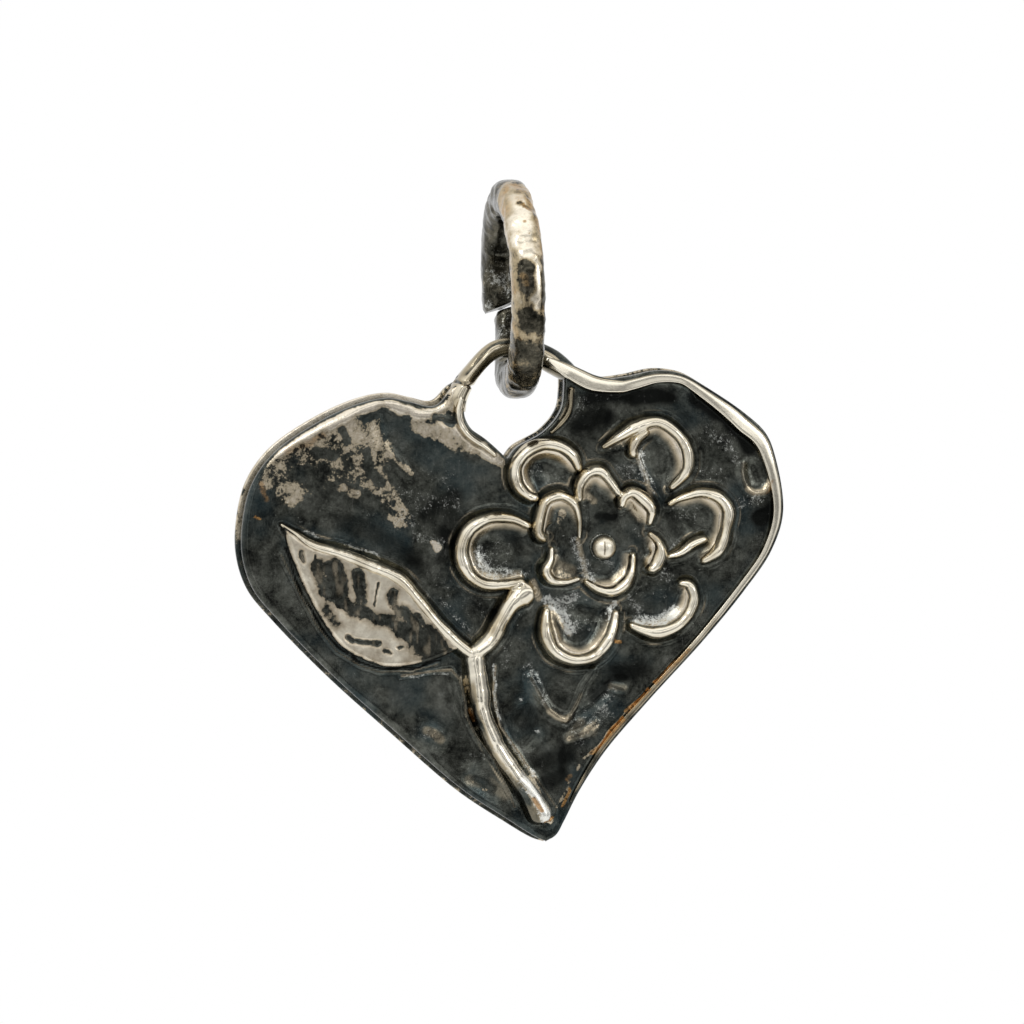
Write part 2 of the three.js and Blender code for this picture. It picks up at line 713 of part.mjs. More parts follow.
// How far the arch reaches down over the flat of the ring's wire, in whichever way it is turned.
function archReach() {
  const path = smooth(ARCH_LINE, TRIM_STEP);
  const lowest = path.map((point, i) =>
    moved(point, leftOf(path, i), -Math.max(ARCH_WIDTH * point.z, ARCH_DEPTH) / 2),
  );
  const overRing = lowest.filter((point) => Math.abs(point.x) < (RING_FLAT_SHARE * RING_WIRE_BREADTH) / 2);
  return -Math.min(...overRing.map((point) => point.y));
}

function heart() {
  const face = new Face();
  const whole = assembly(backPlate(), frontPlate(), bailArch(), spray(face), flower(face), rims(face));
  whole.position.set(
    2 * RING_INNER_RADIUS * Math.sin(RING_LEAN),
    0,
    -2 * RING_INNER_RADIUS * Math.cos(RING_LEAN) + HANG_CLEARANCE + archReach(),
  );
  return whole;
}

const ring = assembly(jumpRing());
ring.rotation.y = -RING_LEAN;

const pendant = assembly(ring, heart());

export default pendant;
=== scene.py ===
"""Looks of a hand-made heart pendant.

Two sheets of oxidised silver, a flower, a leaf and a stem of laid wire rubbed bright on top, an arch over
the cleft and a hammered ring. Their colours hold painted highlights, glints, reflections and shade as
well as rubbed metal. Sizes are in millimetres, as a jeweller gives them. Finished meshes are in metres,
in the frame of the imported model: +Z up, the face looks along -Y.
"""

import json
import logging
import math
from collections.abc import Callable, Iterable, Sequence
from dataclasses import dataclass, replace
from enum import Enum

import bmesh
import bpy
import numpy as np
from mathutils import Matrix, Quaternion, Vector
from mathutils.geometry import delaunay_2d_cdt


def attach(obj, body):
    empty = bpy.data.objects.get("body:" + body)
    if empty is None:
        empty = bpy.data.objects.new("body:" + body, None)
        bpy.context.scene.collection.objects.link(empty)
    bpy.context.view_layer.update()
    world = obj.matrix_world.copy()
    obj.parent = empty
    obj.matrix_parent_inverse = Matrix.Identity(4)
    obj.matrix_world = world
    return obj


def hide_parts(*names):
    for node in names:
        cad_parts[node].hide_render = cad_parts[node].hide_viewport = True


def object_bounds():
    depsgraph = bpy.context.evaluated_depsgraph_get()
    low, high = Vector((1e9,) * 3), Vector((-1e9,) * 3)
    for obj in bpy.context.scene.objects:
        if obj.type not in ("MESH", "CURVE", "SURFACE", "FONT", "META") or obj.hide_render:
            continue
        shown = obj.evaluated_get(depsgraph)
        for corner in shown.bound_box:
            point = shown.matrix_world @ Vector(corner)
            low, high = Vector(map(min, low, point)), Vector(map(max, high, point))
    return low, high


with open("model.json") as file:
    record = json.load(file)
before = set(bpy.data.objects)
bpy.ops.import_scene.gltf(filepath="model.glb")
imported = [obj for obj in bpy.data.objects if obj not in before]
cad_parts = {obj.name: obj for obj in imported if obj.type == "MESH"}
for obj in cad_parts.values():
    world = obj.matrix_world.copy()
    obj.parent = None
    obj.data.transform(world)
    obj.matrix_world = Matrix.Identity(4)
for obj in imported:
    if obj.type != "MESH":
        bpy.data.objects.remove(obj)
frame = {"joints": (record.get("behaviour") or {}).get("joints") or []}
CAD_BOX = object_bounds()

LOG = logging.getLogger("pendant")
MM = 0.001
WHITE = (1.0, 1.0, 1.0, 1.0)
CURVE_PARTS = 24
TOUCHING = 1e-7

Array = np.ndarray
Mesh = bpy.types.Mesh
Socket = bpy.types.NodeSocket
Colour = tuple[float, float, float, float]
Place = tuple[float, ...]
Places = tuple[Place, ...]


class Body(str, Enum):
    """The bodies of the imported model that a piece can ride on."""

    RING = "ring"
    HEART = "heart"


class Skin(str, Enum):
    """The measures that a piece keeps at its points, which its finish reads.

    The measure wear_and_shading holds rubbed metal with painted highlights, shade and reflections; sheen is
    a painted sheen; frost_glint is pale grain with painted glints; tarnish is brown.
    """

    WEAR_AND_SHADING = "wear_and_shading"
    SHEEN = "sheen"
    FROST_GLINT = "frost_glint"
    TARNISH = "tarnish"


class NodeWeb:
    """Adds and links the nodes of one tree."""

    def __init__(self, tree: bpy.types.NodeTree) -> None:
        """Keeps the tree that nodes are added to."""
        self.tree = tree

    def put(self, socket: Socket, value: object) -> None:
        """Gives a socket a value, or links it to another node's socket.

        Args:
            socket: the input.
            value: a plain value, or another node's output.
        """
        if isinstance(value, Socket):
            self.tree.links.new(value, socket)
        else:
            socket.default_value = value

    def node(
        self, kind: str, inputs: dict[str | int, object] | None = None, **settings: object
    ) -> bpy.types.Node:
        """Adds a node.

        Args:
            kind: Blender's own name of the node's type.
            inputs: values or sockets, by the input's name or place.
            settings: the node's own properties.

        Returns:
            The node.
        """
        made = self.tree.nodes.new(kind)
        for name, value in settings.items():
            setattr(made, name, value)
        for key, value in (inputs or {}).items():
            self.put(made.inputs[key], value)
        return made

    def math(self, operation: str, *values: object) -> Socket:
        """Adds a Math node and returns its result."""
        return self.node("ShaderNodeMath", dict(enumerate(values)), operation=operation).outputs[0]

    def times(self, one: object, other: object) -> Socket:
        """Returns the product of two numbers."""
        return self.math("MULTIPLY", one, other)

    def vector(self, operation: str, *values: object) -> Socket:
        """Adds a Vector Math node and returns its vector."""
        return self.node("ShaderNodeVectorMath", dict(enumerate(values)), operation=operation).outputs[0]

    def scaled(self, vector: Socket, scale: object) -> Socket:
        """Returns a vector times a number."""
        made = self.node("ShaderNodeVectorMath", {0: vector, "Scale": scale}, operation="SCALE")
        return made.outputs[0]

    def weighed(self, *shares: tuple[Socket, float]) -> Socket:
        """Adds some noises up, less a half, so that the sum lies about zero.

        Args:
            shares: each noise with its weight.

        Returns:
            The sum.
        """
        total: object = -0.5
        for value, weight in shares:
            total = self.math("MULTIPLY_ADD", value, weight, total)
        return total

    def noise(self, vector: Socket, size: float, detail: float, turn: float) -> Socket:
        """Adds a noise whose blotches are about one size, in millimetres.

        Args:
            vector: the coordinates.
            size: of the blotches.
            detail: how many finer layers lie in it.
            turn: its place in the fourth dimension, so that two noises differ.

        Returns:
            The noise's factor.
        """
        made = self.node(
            "ShaderNodeTexNoise",
            {"Vector": vector, "W": turn, "Scale": 1 / (size * MM), "Detail": detail, "Roughness": 0.6},
            noise_dimensions="4D",
        )
        return made.outputs[0]

    def hairs(self, vector: Socket, size: float, turn: float) -> Socket:
        """Adds fine scratches that run aslant over the face.

        Args:
            vector: the coordinates.
            size: how broad a scratch is, in millimetres.
            turn: their place in the fourth dimension.

        Returns:
            1 on a scratch, 0 beside it.
        """
        drawn_out = {"Vector": vector, "Rotation": (0.0, 0.7, 0.0), "Scale": (1.0, 1.0, 0.05)}
        aslant = self.node("ShaderNodeMapping", drawn_out).outputs[0]
        return self.threshold(self.noise(aslant, size, 1.0, turn), 0.7, 0.05)

    def ramp(self, factor: Socket, stops: Sequence[tuple[float, Colour]]) -> Socket:
        """Adds a colour ramp.

        Args:
            factor: what is looked up in it.
            stops: its places and their colours.

        Returns:
            The colour.
        """
        made = self.node("ShaderNodeValToRGB", {0: factor})
        elements = made.color_ramp.elements
        while len(elements) < len(stops):
            elements.new(1.0)
        for element, (position, colour) in zip(elements, stops):
            element.position = position
            element.color = colour
        return made.outputs[0]

    def mix(self, factor: object, low: object, high: object) -> Socket:
        """Adds a mix of two colours and returns it."""
        return self.node("ShaderNodeMix", {0: factor, 6: low, 7: high}, data_type="RGBA").outputs[2]

    def between(self, factor: object, low: float, high: float) -> Socket:
        """Returns a number that goes from low to high as the factor goes from 0 to 1."""
        return self.node("ShaderNodeMapRange", {0: factor, 3: low, 4: high}).outputs[0]

    def threshold(self, value: object, centre: float, softness: float) -> Socket:
        """Returns a soft step from 0 to 1 about a centre."""
        ends = {0: value, 1: centre - softness, 2: centre + softness, 3: 0.0, 4: 1.0}
        return self.node("ShaderNodeMapRange", ends, interpolation_type="SMOOTHSTEP").outputs[0]

    @staticmethod
    def in_use(sockets: Iterable[Socket], name: str) -> Socket:
        """Returns the socket of a name that the node's settings leave in use."""
        return next(socket for socket in sockets if socket.name == name and socket.enabled)


@dataclass(frozen=True)
class Finish:
    """Silver under a dark skin, which is rubbed off where a piece's wear_and_shading says.

    The skin goes from ink in its pits over charcoal to slate and a pale grey on its grain, with a blue tint
    here and there. Bare metal goes from olive in the hollows over tan to cream on the crests, and the same
    measure paints highlights, shade and dark reflections. Sheen is a painted highlight from olive over tan
    to cream. The frost_glint measure is the pale grain left in corners, with painted glints on it, and
    tarnish is brown.
    """

    name: str
    slot: str
    ink: Colour = (0.011, 0.012, 0.011, 1)
    charcoal: Colour = (0.056, 0.059, 0.050, 1)
    slate: Colour = (0.12, 0.125, 0.108, 1)
    pale: Colour = (0.25, 0.255, 0.23, 1)
    blue: Colour = (0.036, 0.056, 0.062, 1)
    olive: Colour = (0.15, 0.132, 0.092, 1)
    tan: Colour = (0.48, 0.41, 0.295, 1)
    cream: Colour = (0.78, 0.71, 0.59, 1)
    frost_glint: Colour = (0.64, 0.65, 0.61, 1)
    rust: Colour = (0.09, 0.045, 0.016, 1)
    amber: Colour = (0.54, 0.30, 0.11, 1)
    patch: float = 1.3
    blotch: float = 0.5
    speck: float = 0.14
    grain: float = 0.05
    ragged: float = 1.35
    bare_at: float = 0.5
    bare_soft: float = 0.04
    tan_at: float = 0.56
    cream_at: float = 1.0
    dark_roughness: float = 0.19
    bare_roughness: float = 0.24
    relief: float = 0.045

    def metal(self) -> bpy.types.Material:
        """Returns the finish's material, which is built when it is first asked for."""
        return bpy.data.materials.get(self.name) or self.material()

    def material(self) -> bpy.types.Material:
        """Builds the node material.

        Returns:
            The material, which reads the measures that a piece keeps at its points.
        """
        made = bpy.data.materials.new(self.name)
        made.use_nodes = True
        web = NodeWeb(made.node_tree)
        made.node_tree.nodes.clear()
        where = web.node("ShaderNodeTexCoord").outputs["Object"]
        patch = web.noise(where, self.patch, 3.0, 1.0)
        blotch = web.noise(where, self.blotch, 6.0, 2.0)
        speck = web.noise(where, self.speck, 3.0, 3.0)
        grain = web.noise(where, self.grain, 2.0, 4.0)
        tint = web.noise(where, 2 * self.patch, 2.0, 5.0)
        hairs = web.hairs(where, 0.05, 6.0)
        kept = {
            skin: web.node("ShaderNodeAttribute", attribute_name=skin.value).outputs["Fac"] for skin in Skin
        }

        uneven = web.weighed((patch, 0.22), (blotch, 0.4), (speck, 0.26), (grain, 0.12))
        wear_and_shading = web.math("MULTIPLY_ADD", uneven, 2 * self.ragged, kept[Skin.WEAR_AND_SHADING])
        bare = web.threshold(wear_and_shading, self.bare_at, self.bare_soft)
        # Painted sheen: a smooth highlight from olive over tan to cream where a piece's sheen says.
        sheen = web.math("MULTIPLY_ADD", uneven, 0.5, kept[Skin.SHEEN])
        lit = web.threshold(sheen, 0.4, 0.28)
        # Ink where wear_and_shading is below zero: dark pits, and painted shade.
        pit = {0: kept[Skin.WEAR_AND_SHADING], 1: 0.0, 2: -0.5, 3: 0.0, 4: 1.0}
        deep = web.node("ShaderNodeMapRange", pit).outputs[0]
        grainy = web.weighed((speck, 0.55), (grain, 0.45))
        # Painted glints: pale specks where frost_glint is high.
        frost_glinting = web.threshold(web.math("MULTIPLY_ADD", grainy, 2.6, kept[Skin.FROST_GLINT]), 0.74, 0.26)
        tarnished = web.threshold(web.math("MULTIPLY_ADD", uneven, 1.2, kept[Skin.TARNISH]), 0.5, 0.2)

        worked = web.weighed((patch, 0.35), (blotch, 0.3), (speck, 0.2), (grain, 0.15))
        tones = [(0.41, self.ink), (0.48, self.charcoal), (0.56, self.slate), (0.68, self.pale)]
        skin = web.ramp(web.math("ADD", worked, 0.5), tones)
        skin = web.mix(web.times(web.threshold(tint, 0.56, 0.1), 0.55), skin, self.blue)
        skin = web.mix(web.times(hairs, 0.25), skin, self.pale)
        skin = web.mix(deep, skin, self.ink)
        bare_from = self.bare_at - self.bare_soft
        metal = web.ramp(
            wear_and_shading, [(bare_from, self.olive), (self.tan_at, self.tan), (self.cream_at, self.cream)]
        )
        smooth = web.ramp(sheen, [(0.2, self.olive), (0.6, self.tan), (1.0, self.cream)])
        brown = web.ramp(speck, [(0.3, self.rust), (0.52, self.amber)])
        colour = web.mix(bare, skin, metal)
        colour = web.mix(lit, colour, smooth)
        colour = web.mix(web.times(frost_glinting, 0.9), colour, self.frost_glint)
        colour = web.mix(web.times(tarnished, 0.85), colour, brown)

        rough = web.between(bare, self.dark_roughness, self.bare_roughness)
        rough = web.math("MULTIPLY_ADD", grainy, 0.2, rough)
        rough = web.math("MULTIPLY_ADD", frost_glinting, 0.18, rough)
        height = web.weighed((blotch, 0.5), (speck, 0.35), (grain, 0.15))
        bump = web.node("ShaderNodeBump", {"Strength": 0.6, "Distance": self.relief * MM, "Height": height})
        looks = {"Base Color": colour, "Metallic": 1.0, "Roughness": rough, "Normal": bump.outputs[0]}
        shader = web.node("ShaderNodeBsdfPrincipled", looks)
        web.node("ShaderNodeOutputMaterial", {"Surface": shader.outputs[0]})
        return made


SHEET_FINISH = Finish("oxidised_sheet", "oxidised_silver")
WIRE_FINISH = Finish(
    "rubbed_and_shaded_wire",
    "worn_silver",
    olive=(0.12, 0.105, 0.072, 1),
    tan=(0.49, 0.42, 0.295, 1),
    cream=(0.90, 0.84, 0.70, 1),
    frost_glint=(0.86, 0.86, 0.81, 1),
    ragged=0.22,
    bare_at=0.12,
    bare_soft=0.14,
    tan_at=0.5,
    cream_at=0.95,
    bare_roughness=0.17,
    relief=0.015,
)
LEAF_FINISH = replace(
    WIRE_FINISH,
    name="worn_and_shaded_leaf",
    blue=(0.052, 0.052, 0.044, 1),
    tan=(0.47, 0.40, 0.295, 1),
    ragged=1.0,
    bare_at=0.29,
    bare_soft=0.07,
    tan_at=0.44,
    cream_at=1.35,
    bare_roughness=0.34,
    relief=0.04,
)
RING_FINISH = Finish(
    "hammered_wire",
    "hammered_silver",
    ink=(0.012, 0.012, 0.009, 1),
    charcoal=(0.054, 0.050, 0.037, 1),
    slate=(0.13, 0.119, 0.089, 1),
    pale=(0.31, 0.295, 0.25, 1),
    blue=(0.050, 0.052, 0.045, 1),
    olive=(0.18, 0.145, 0.09, 1),
    tan=(0.45, 0.37, 0.24, 1),
    cream=(0.96, 0.88, 0.73, 1),
    rust=(0.12, 0.07, 0.03, 1),
    amber=(0.43, 0.27, 0.11, 1),
    patch=0.7,
    blotch=0.35,
    ragged=0.85,
    bare_at=0.4,
    bare_soft=0.07,
    tan_at=0.58,
    cream_at=1.0,
    relief=0.03,
)


class Grain:
    """Smooth seeded noise, from -1 to 1, over points in millimetres."""

    ENTRIES = 4096
    PRIMES = np.array([73856093, 19349663, 83492791])

    def __init__(self, seed: int) -> None:
        """Fills the table that the noise is drawn from."""
        self.table = np.random.default_rng(seed).uniform(-1, 1, self.ENTRIES)

    def at(self, points: Array, size: float) -> Array:
        """Finds the noise at some points.

        Args:
            points: flat places or points in space.
            size: about how long its waves are.

        Returns:
            The noise at each point.
        """
        scaled = points / size
        low = np.floor(scaled).astype(np.int64)
        part = scaled - low
        part = part * part * (3 - 2 * part)
        primes = self.PRIMES[: points.shape[1]]
        total = np.zeros(len(points))
        for corner in np.ndindex(*(2,) * points.shape[1]):
            cell = (low + np.array(corner)) * primes
            weight = np.prod(np.where(np.array(corner) == 1, part, 1 - part), axis=1)
            total += weight * self.table[np.bitwise_xor.reduce(cell, axis=1) % self.ENTRIES]
        return total


def smooth_step(low: float, high: float, values: Array) -> Array:
    """Returns a soft step from 0 at low to 1 at high."""
    part = np.clip((values - low) / (high - low), 0, 1)
    return part * part * (3 - 2 * part)


def bell(offset: Array, width: float) -> Array:
    """Returns a soft bump, which is 1 where the offset is 0 and has little left past its width."""
    return np.exp(-((offset / width) ** 2))


def rounded(edge: Array, radius: Array | float) -> Array:
    """Returns how far a rounded edge has sunk at some distances from it."""
    return radius - np.sqrt(np.maximum(radius**2 - np.maximum(radius - edge, 0) ** 2, 0))


def run_length(line: Array) -> Array:
    """Returns how far along a line each of its rows is."""
    return np.concatenate([[0], np.cumsum(np.hypot(*np.diff(line[:, :2], axis=0).T))])


def in_box(points: Array, line: Array, margin: float) -> Array:
    """Returns the numbers of the flat places in the box round a line, widened by a margin."""
    inside = (points > line.min(0) - margin) & (points < line.max(0) + margin)
    return np.flatnonzero(np.all(inside, axis=1))


def nearest_rows(points: Array, rows: Array) -> tuple[Array, Array]:
    """Finds the row that is nearest to each flat place.

    Args:
        points: flat places.
        rows: across, up and a local share.

    Returns:
        The distances, and the nearest rows.
    """
    apart = np.empty(len(points))
    nearest = np.empty(len(points), dtype=int)
    for part in np.array_split(np.arange(len(points)), max(1, len(points) // 3000)):
        squares = ((points[part, None] - rows[None, :, :2]) ** 2).sum(axis=2)
        nearest[part] = squares.argmin(axis=1)
        apart[part] = np.sqrt(squares.min(axis=1))
    return apart, rows[nearest]


def line_distance(points: Array, line: Array) -> Array:
    """Finds how far flat places are from a line.

    Args:
        points: flat places.
        line: its corners.

    Returns:
        The distances.
    """
    best = np.full(len(points), np.inf)
    for start, end in zip(line[:-1], line[1:]):
        run = end - start
        along = np.clip(((points - start) @ run) / max(run @ run, 1e-12), 0, 1)
        off = points - start - along[:, None] * run
        best = np.minimum(best, np.hypot(off[:, 0], off[:, 1]))
    return best


def smoothed(places: Array, step: float) -> Array:
    """Runs a centripetal curve through some places.

    Args:
        places: across, up and a local share, one row each.
        step: about how far apart the points are.

    Returns:
        Evenly spaced points, in rows like the places.
    """
    ends = np.vstack([2 * places[0] - places[1], places, 2 * places[-1] - places[-2]])
    knots = np.maximum(np.sum(np.diff(ends, axis=0) ** 2, axis=1) ** 0.25, 1e-4)
    part = np.linspace(0, 1, CURVE_PARTS, endpoint=False)[:, None]
    runs = []
    for i in range(1, len(ends) - 2):
        before, here, after, last = ends[i - 1 : i + 3]
        d0, d1, d2 = knots[i - 1 : i + 2]
        leave = ((here - before) / d0 - (after - before) / (d0 + d1) + (after - here) / d1) * d1
        arrive = ((after - here) / d1 - (last - here) / (d1 + d2) + (last - after) / d2) * d1
        runs.append(
            here
            + leave * part
            + (3 * (after - here) - 2 * leave - arrive) * part**2
            + (2 * (here - after) + leave + arrive) * part**3
        )
    fine = np.vstack([*runs, places[-1:]])
    length = run_length(fine)
    even = np.linspace(0, length[-1], max(4, round(length[-1] / step)) + 1)
    return np.column_stack([np.interp(even, length, column) for column in fine.T])


def left_of(path: Array) -> Array:
    """Returns the unit vectors to the left of a path, one for each of its points."""
    run = np.gradient(path[:, :2], axis=0)
    return np.column_stack([-run[:, 1], run[:, 0]]) / np.linalg.norm(run, axis=1)[:, None]


def moved(path: Array, directions: Array, distance: Array | float) -> Array:
    """Returns a path moved some distance along flat directions, its shares kept."""
    flat = path[:, :2] + directions * np.reshape(distance, (-1, 1))
    return np.column_stack([flat, path[:, 2:]])


@dataclass(frozen=True)
class FaceFrame:
    """Where places on the face are, in millimetres from the arch's crown, which is the hinge."""

    width: float = 25.4
    height: float = 22.9
    flower_radius: float = 6.0
    flower_at: Place = (0.159, 0.4005)
    front_thickness: float = 0.95
    back_thickness: float = 0.65

    @property
    def hinge(self) -> Array:
        """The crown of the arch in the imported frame, in metres."""
        return np.array(frame["joints"][0]["pos_m"])

    @property
    def face(self) -> float:
        """The depth of the bare face, measured from the heart's middle plane."""
        return -(self.front_thickness + self.back_thickness) / 2

    @property
    def seam(self) -> float:
        """The depth at which the two sheets meet."""
        return self.face + self.front_thickness

    @property
    def back(self) -> float:
        """The depth of the back."""
        return self.seam + self.back_thickness

    def on_heart(self, *places: Place) -> Array:
        """Turns places into rows of across, up and share.

        Args:
            places: shares of the width from the hanging line and of the height down from the crown, then a
                local share, of a wire's width or of an edge's rounding, which is 1 where it isn't given.

        Returns:
            The rows.
        """
        return np.array([(p[0] * self.width, -p[1] * self.height, *(p[2:] or (1.0,))) for p in places])

    def on_flower(self, *places: Place) -> Array:
        """Turns thousandths of the flower's radius, right of the bead and above it, into such rows."""
        seat = self.on_heart(self.flower_at)[0, :2]
        return np.array([(*(seat + self.flower_radius * (np.array(p[:2]) / 1000)), p[2]) for p in places])

    def in_space(self, flat: Array, depth: Array | float) -> Array:
        """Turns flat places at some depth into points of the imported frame, in metres."""
        depths = np.broadcast_to(depth, len(flat))
        return self.hinge + MM * np.column_stack([flat[:, 0], depths, flat[:, 1]])

    def on_face(self, points: Array) -> tuple[Array, Array]:
        """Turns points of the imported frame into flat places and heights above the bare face."""
        local = (points - self.hinge) / MM
        return local[:, [0, 2]], self.face - local[:, 1]


FRAME = FaceFrame()


@dataclass(frozen=True)
class Mark:
    """A stroke: a soft line through a few flat places in millimetres, and an amount at its middle."""

    reach: float
    amount: float
    places: Places

    def distance(self, points: Array, margin: float) -> tuple[Array, Array]:
        """Returns the numbers of the flat places near the stroke, and their distances from it."""
        near = in_box(points, np.array(self.places), margin)
        return near, line_distance(points[near], np.array(self.places))


def mark(reach: float, amount: float, *places: Place) -> Mark:
    """Makes a stroke from its reach in millimetres, its amount and places in thousandths of the heart."""
    rows = FRAME.on_heart(*((across / 1000, down / 1000) for across, down in places))
    return Mark(reach, amount, tuple((row[0], row[1]) for row in rows))


def raised(points: Array, marks: Iterable[Mark]) -> Array:
    """Adds up the soft swells and hollows that some strokes make.

    Args:
        points: flat places.
        marks: the strokes, whose amounts are heights.

    Returns:
        The height at each place.
    """
    total = np.zeros(len(points))
    for stroke in marks:
        near, distance = stroke.distance(points, 3 * stroke.reach)
        total[near] += stroke.amount * bell(distance, stroke.reach)
    return total


def painted(points: Array, marks: Iterable[Mark], base: Array | float) -> Array:
    """Paints strokes over a base, one after the other.

    Args:
        points: flat places.
        marks: the strokes, whose amounts are what they paint.
        base: the value under them.

    Returns:
        The value at each place.
    """
    values = np.array(np.broadcast_to(base, len(points)), dtype=float)
    for stroke in marks:
        near, distance = stroke.distance(points, 2 * stroke.reach)
        cover = 1 - smooth_step(0.35, 1.6, distance / stroke.reach)
        values[near] += cover * (stroke.amount - values[near])
    return values


def wandering(points: Array, reach: float, size: float) -> Array:
    """Returns flat places moved about a little, so that what is drawn on them gets ragged edges."""
    return points + reach * np.column_stack([Grain(91).at(points, size), Grain(92).at(points, size)])


# Paths on the face that more than one list follows, in thousandths of the heart.
STEM_GROOVE = ((-36, 639), (-39, 693), (-26, 760), (13, 820), (35, 863))
LEAF_FOLD = (
    (-424, 414), (-389, 494), (-361, 552), (-324, 606), (-282, 635),
    (-244, 649), (-190, 648), (-140, 634),
)

# Swells and hollows of the face, whose amounts are millimetres.
SWELLS = (
    mark(0.24, 0.22, (29, 663), (46, 699), (62, 728), (78, 741), (92, 747)),
    mark(0.15, 0.13, (92, 747), (103, 739), (114, 714), (125, 681), (144, 651)),
    mark(0.6, -0.14, (29, 717), (13, 748)),
    mark(0.3, -0.12, (117, 736), (144, 717), (166, 693)),
    mark(0.2, 0.1, (177, 681), (199, 687)),
    mark(0.2, 0.1, (100, 784), (133, 772), (150, 754)),
    mark(0.3, -0.1, (40, 778), (24, 796)),
    mark(0.5, 0.16, (-151, 772), (-141, 781)),
    mark(0.55, -0.16, (-69, 863), (-36, 887)),
    mark(0.1, 0.09, (-206, 657), (-151, 648), (-116, 645), (-102, 663), (-88, 711), (-88, 736),
         (-69, 778), (-36, 826), (-15, 875), (2, 923)),
    mark(0.3, -0.06, (-119, 675), (-105, 730), (-80, 790), (-42, 851)),
    mark(0.09, 0.07, *STEM_GROOVE),
    mark(0.3, 0.12, (35, 869), (51, 911), (65, 948)),
    mark(0.08, 0.07, *LEAF_FOLD),
    mark(0.5, -0.24, (435, 241), (444, 264)),
    mark(0.2, 0.1, (414, 234), (413, 252), (417, 270), (425, 285), (438, 293), (454, 290), (465, 277)),
    mark(0.4, -0.1, (381, 349), (353, 386)),
    mark(0.14, 0.06, (315, 81), (322, 102)),
    mark(0.25, -0.1, (-145, 141), (-121, 152)),
    mark(0.3, 0.08, (-254, 143), (-245, 200), (-219, 228), (-197, 256)),
    mark(0.25, 0.08, (-430, 210), (-391, 182), (-334, 152), (-283, 128), (-248, 115), (-219, 124),
         (-181, 138), (-149, 135)),
    mark(0.6, -0.08, (-334, 299), (-283, 334)),
    mark(0.7, -0.1, (349, 199), (360, 247)),
    mark(0.5, -0.08, (120, 108), (154, 102)),
    mark(0.62, -0.2, (-68, 399), (-29, 399)),
    mark(0.62, -0.2, (47, 235), (64, 247)),
    mark(0.62, -0.2, (266, 211), (266, 247)),
    mark(0.62, -0.2, (321, 350), (338, 374)),
    mark(0.62, -0.2, (124, 526), (146, 532)),
    mark(0.09, 0.09, (217, 211), (225, 235), (239, 271)),
)

# Where the dark skin of the face is rubbed, and how far.
RUBS = (
    mark(0.75, 0.57, (-430, 228), (-359, 200), (-302, 179)),
    mark(0.8, 0.5, (-398, 263), (-334, 249), (-270, 235)),
    mark(0.65, 0.56, (-315, 172), (-257, 179), (-251, 221)),
    mark(0.6, 0.53, (-443, 263), (-411, 299)),
    mark(0.55, 0.55, (-257, 263), (-225, 306), (-206, 341)),
    mark(0.45, 0.66, (-181, 157), (-130, 186), (-85, 200)),
    mark(0.35, 0.05, (-225, 164), (-206, 200), (-168, 221)),
    mark(0.2, 0.12, (-273, 214), (-260, 256), (-251, 270)),
    mark(0.2, 0.15, (-321, 157), (-305, 186)),
    mark(0.18, 0.2, (-366, 207), (-334, 221)),
    mark(0.3, 0.2, (-388, 253), (-363, 270)),
    mark(0.26, 1.0, (-443, 221), (-430, 207), (-391, 179), (-334, 150), (-283, 126), (-248, 112),
         (-219, 122), (-181, 136), (-142, 131)),
    mark(0.28, 0.57, (-254, 150), (-245, 193), (-229, 214)),
    mark(0.16, 0.57, (-229, 214), (-206, 241), (-195, 253)),
    mark(0.2, 0.6, (-315, 288), (-286, 295)),
    mark(0.2, 0.55, (-276, 270), (-245, 299), (-225, 341), (-206, 355)),
    mark(0.34, 0.85, (-142, 143), (-110, 164), (-78, 193), (-34, 225)),
    mark(0.24, 0.2, (-148, 139), (-121, 152)),
    mark(0.3, 0.95, (-142, 124), (-117, 101), (-85, 80)),
    mark(0.12, 0.9, (-107, 168), (-101, 136), (-99, 108)),
    mark(0.26, 0.66, (-128, 104), (-119, 121), (-110, 131)),
    mark(0.13, 1.15, (-154, 393), (-142, 402)),
    mark(0.25, 0.48, (100, 784), (133, 772), (150, 754)),
    mark(0.26, 0.42, (180, 681), (202, 687)),
    mark(0.3, 0.42, (-154, 769), (-138, 781)),
    mark(0.35, 0.4, (-69, 869), (-36, 893)),
    mark(0.12, 0.66, (133, 826), (166, 784), (199, 748), (248, 687)),
    mark(0.12, 0.5, (78, 923), (100, 881), (122, 839)),
    mark(0.22, 0.52, (116, 290), (141, 308)),
    mark(0.26, 0.56, (201, 314), (228, 344)),
    mark(0.26, 0.5, (69, 423), (80, 459), (102, 462)),
    mark(0.3, 0.42, (86, 332), (75, 368)),
    mark(0.2, 0.5, (162, 193), (201, 199)),
    mark(0.2, 0.45, (-81, 640), (-72, 663)),
    mark(0.22, 0.68, (-85, 663), (-79, 705), (-75, 742), (-67, 760)),
    mark(0.2, 0.75, (29, 863), (51, 911), (65, 954)),
)


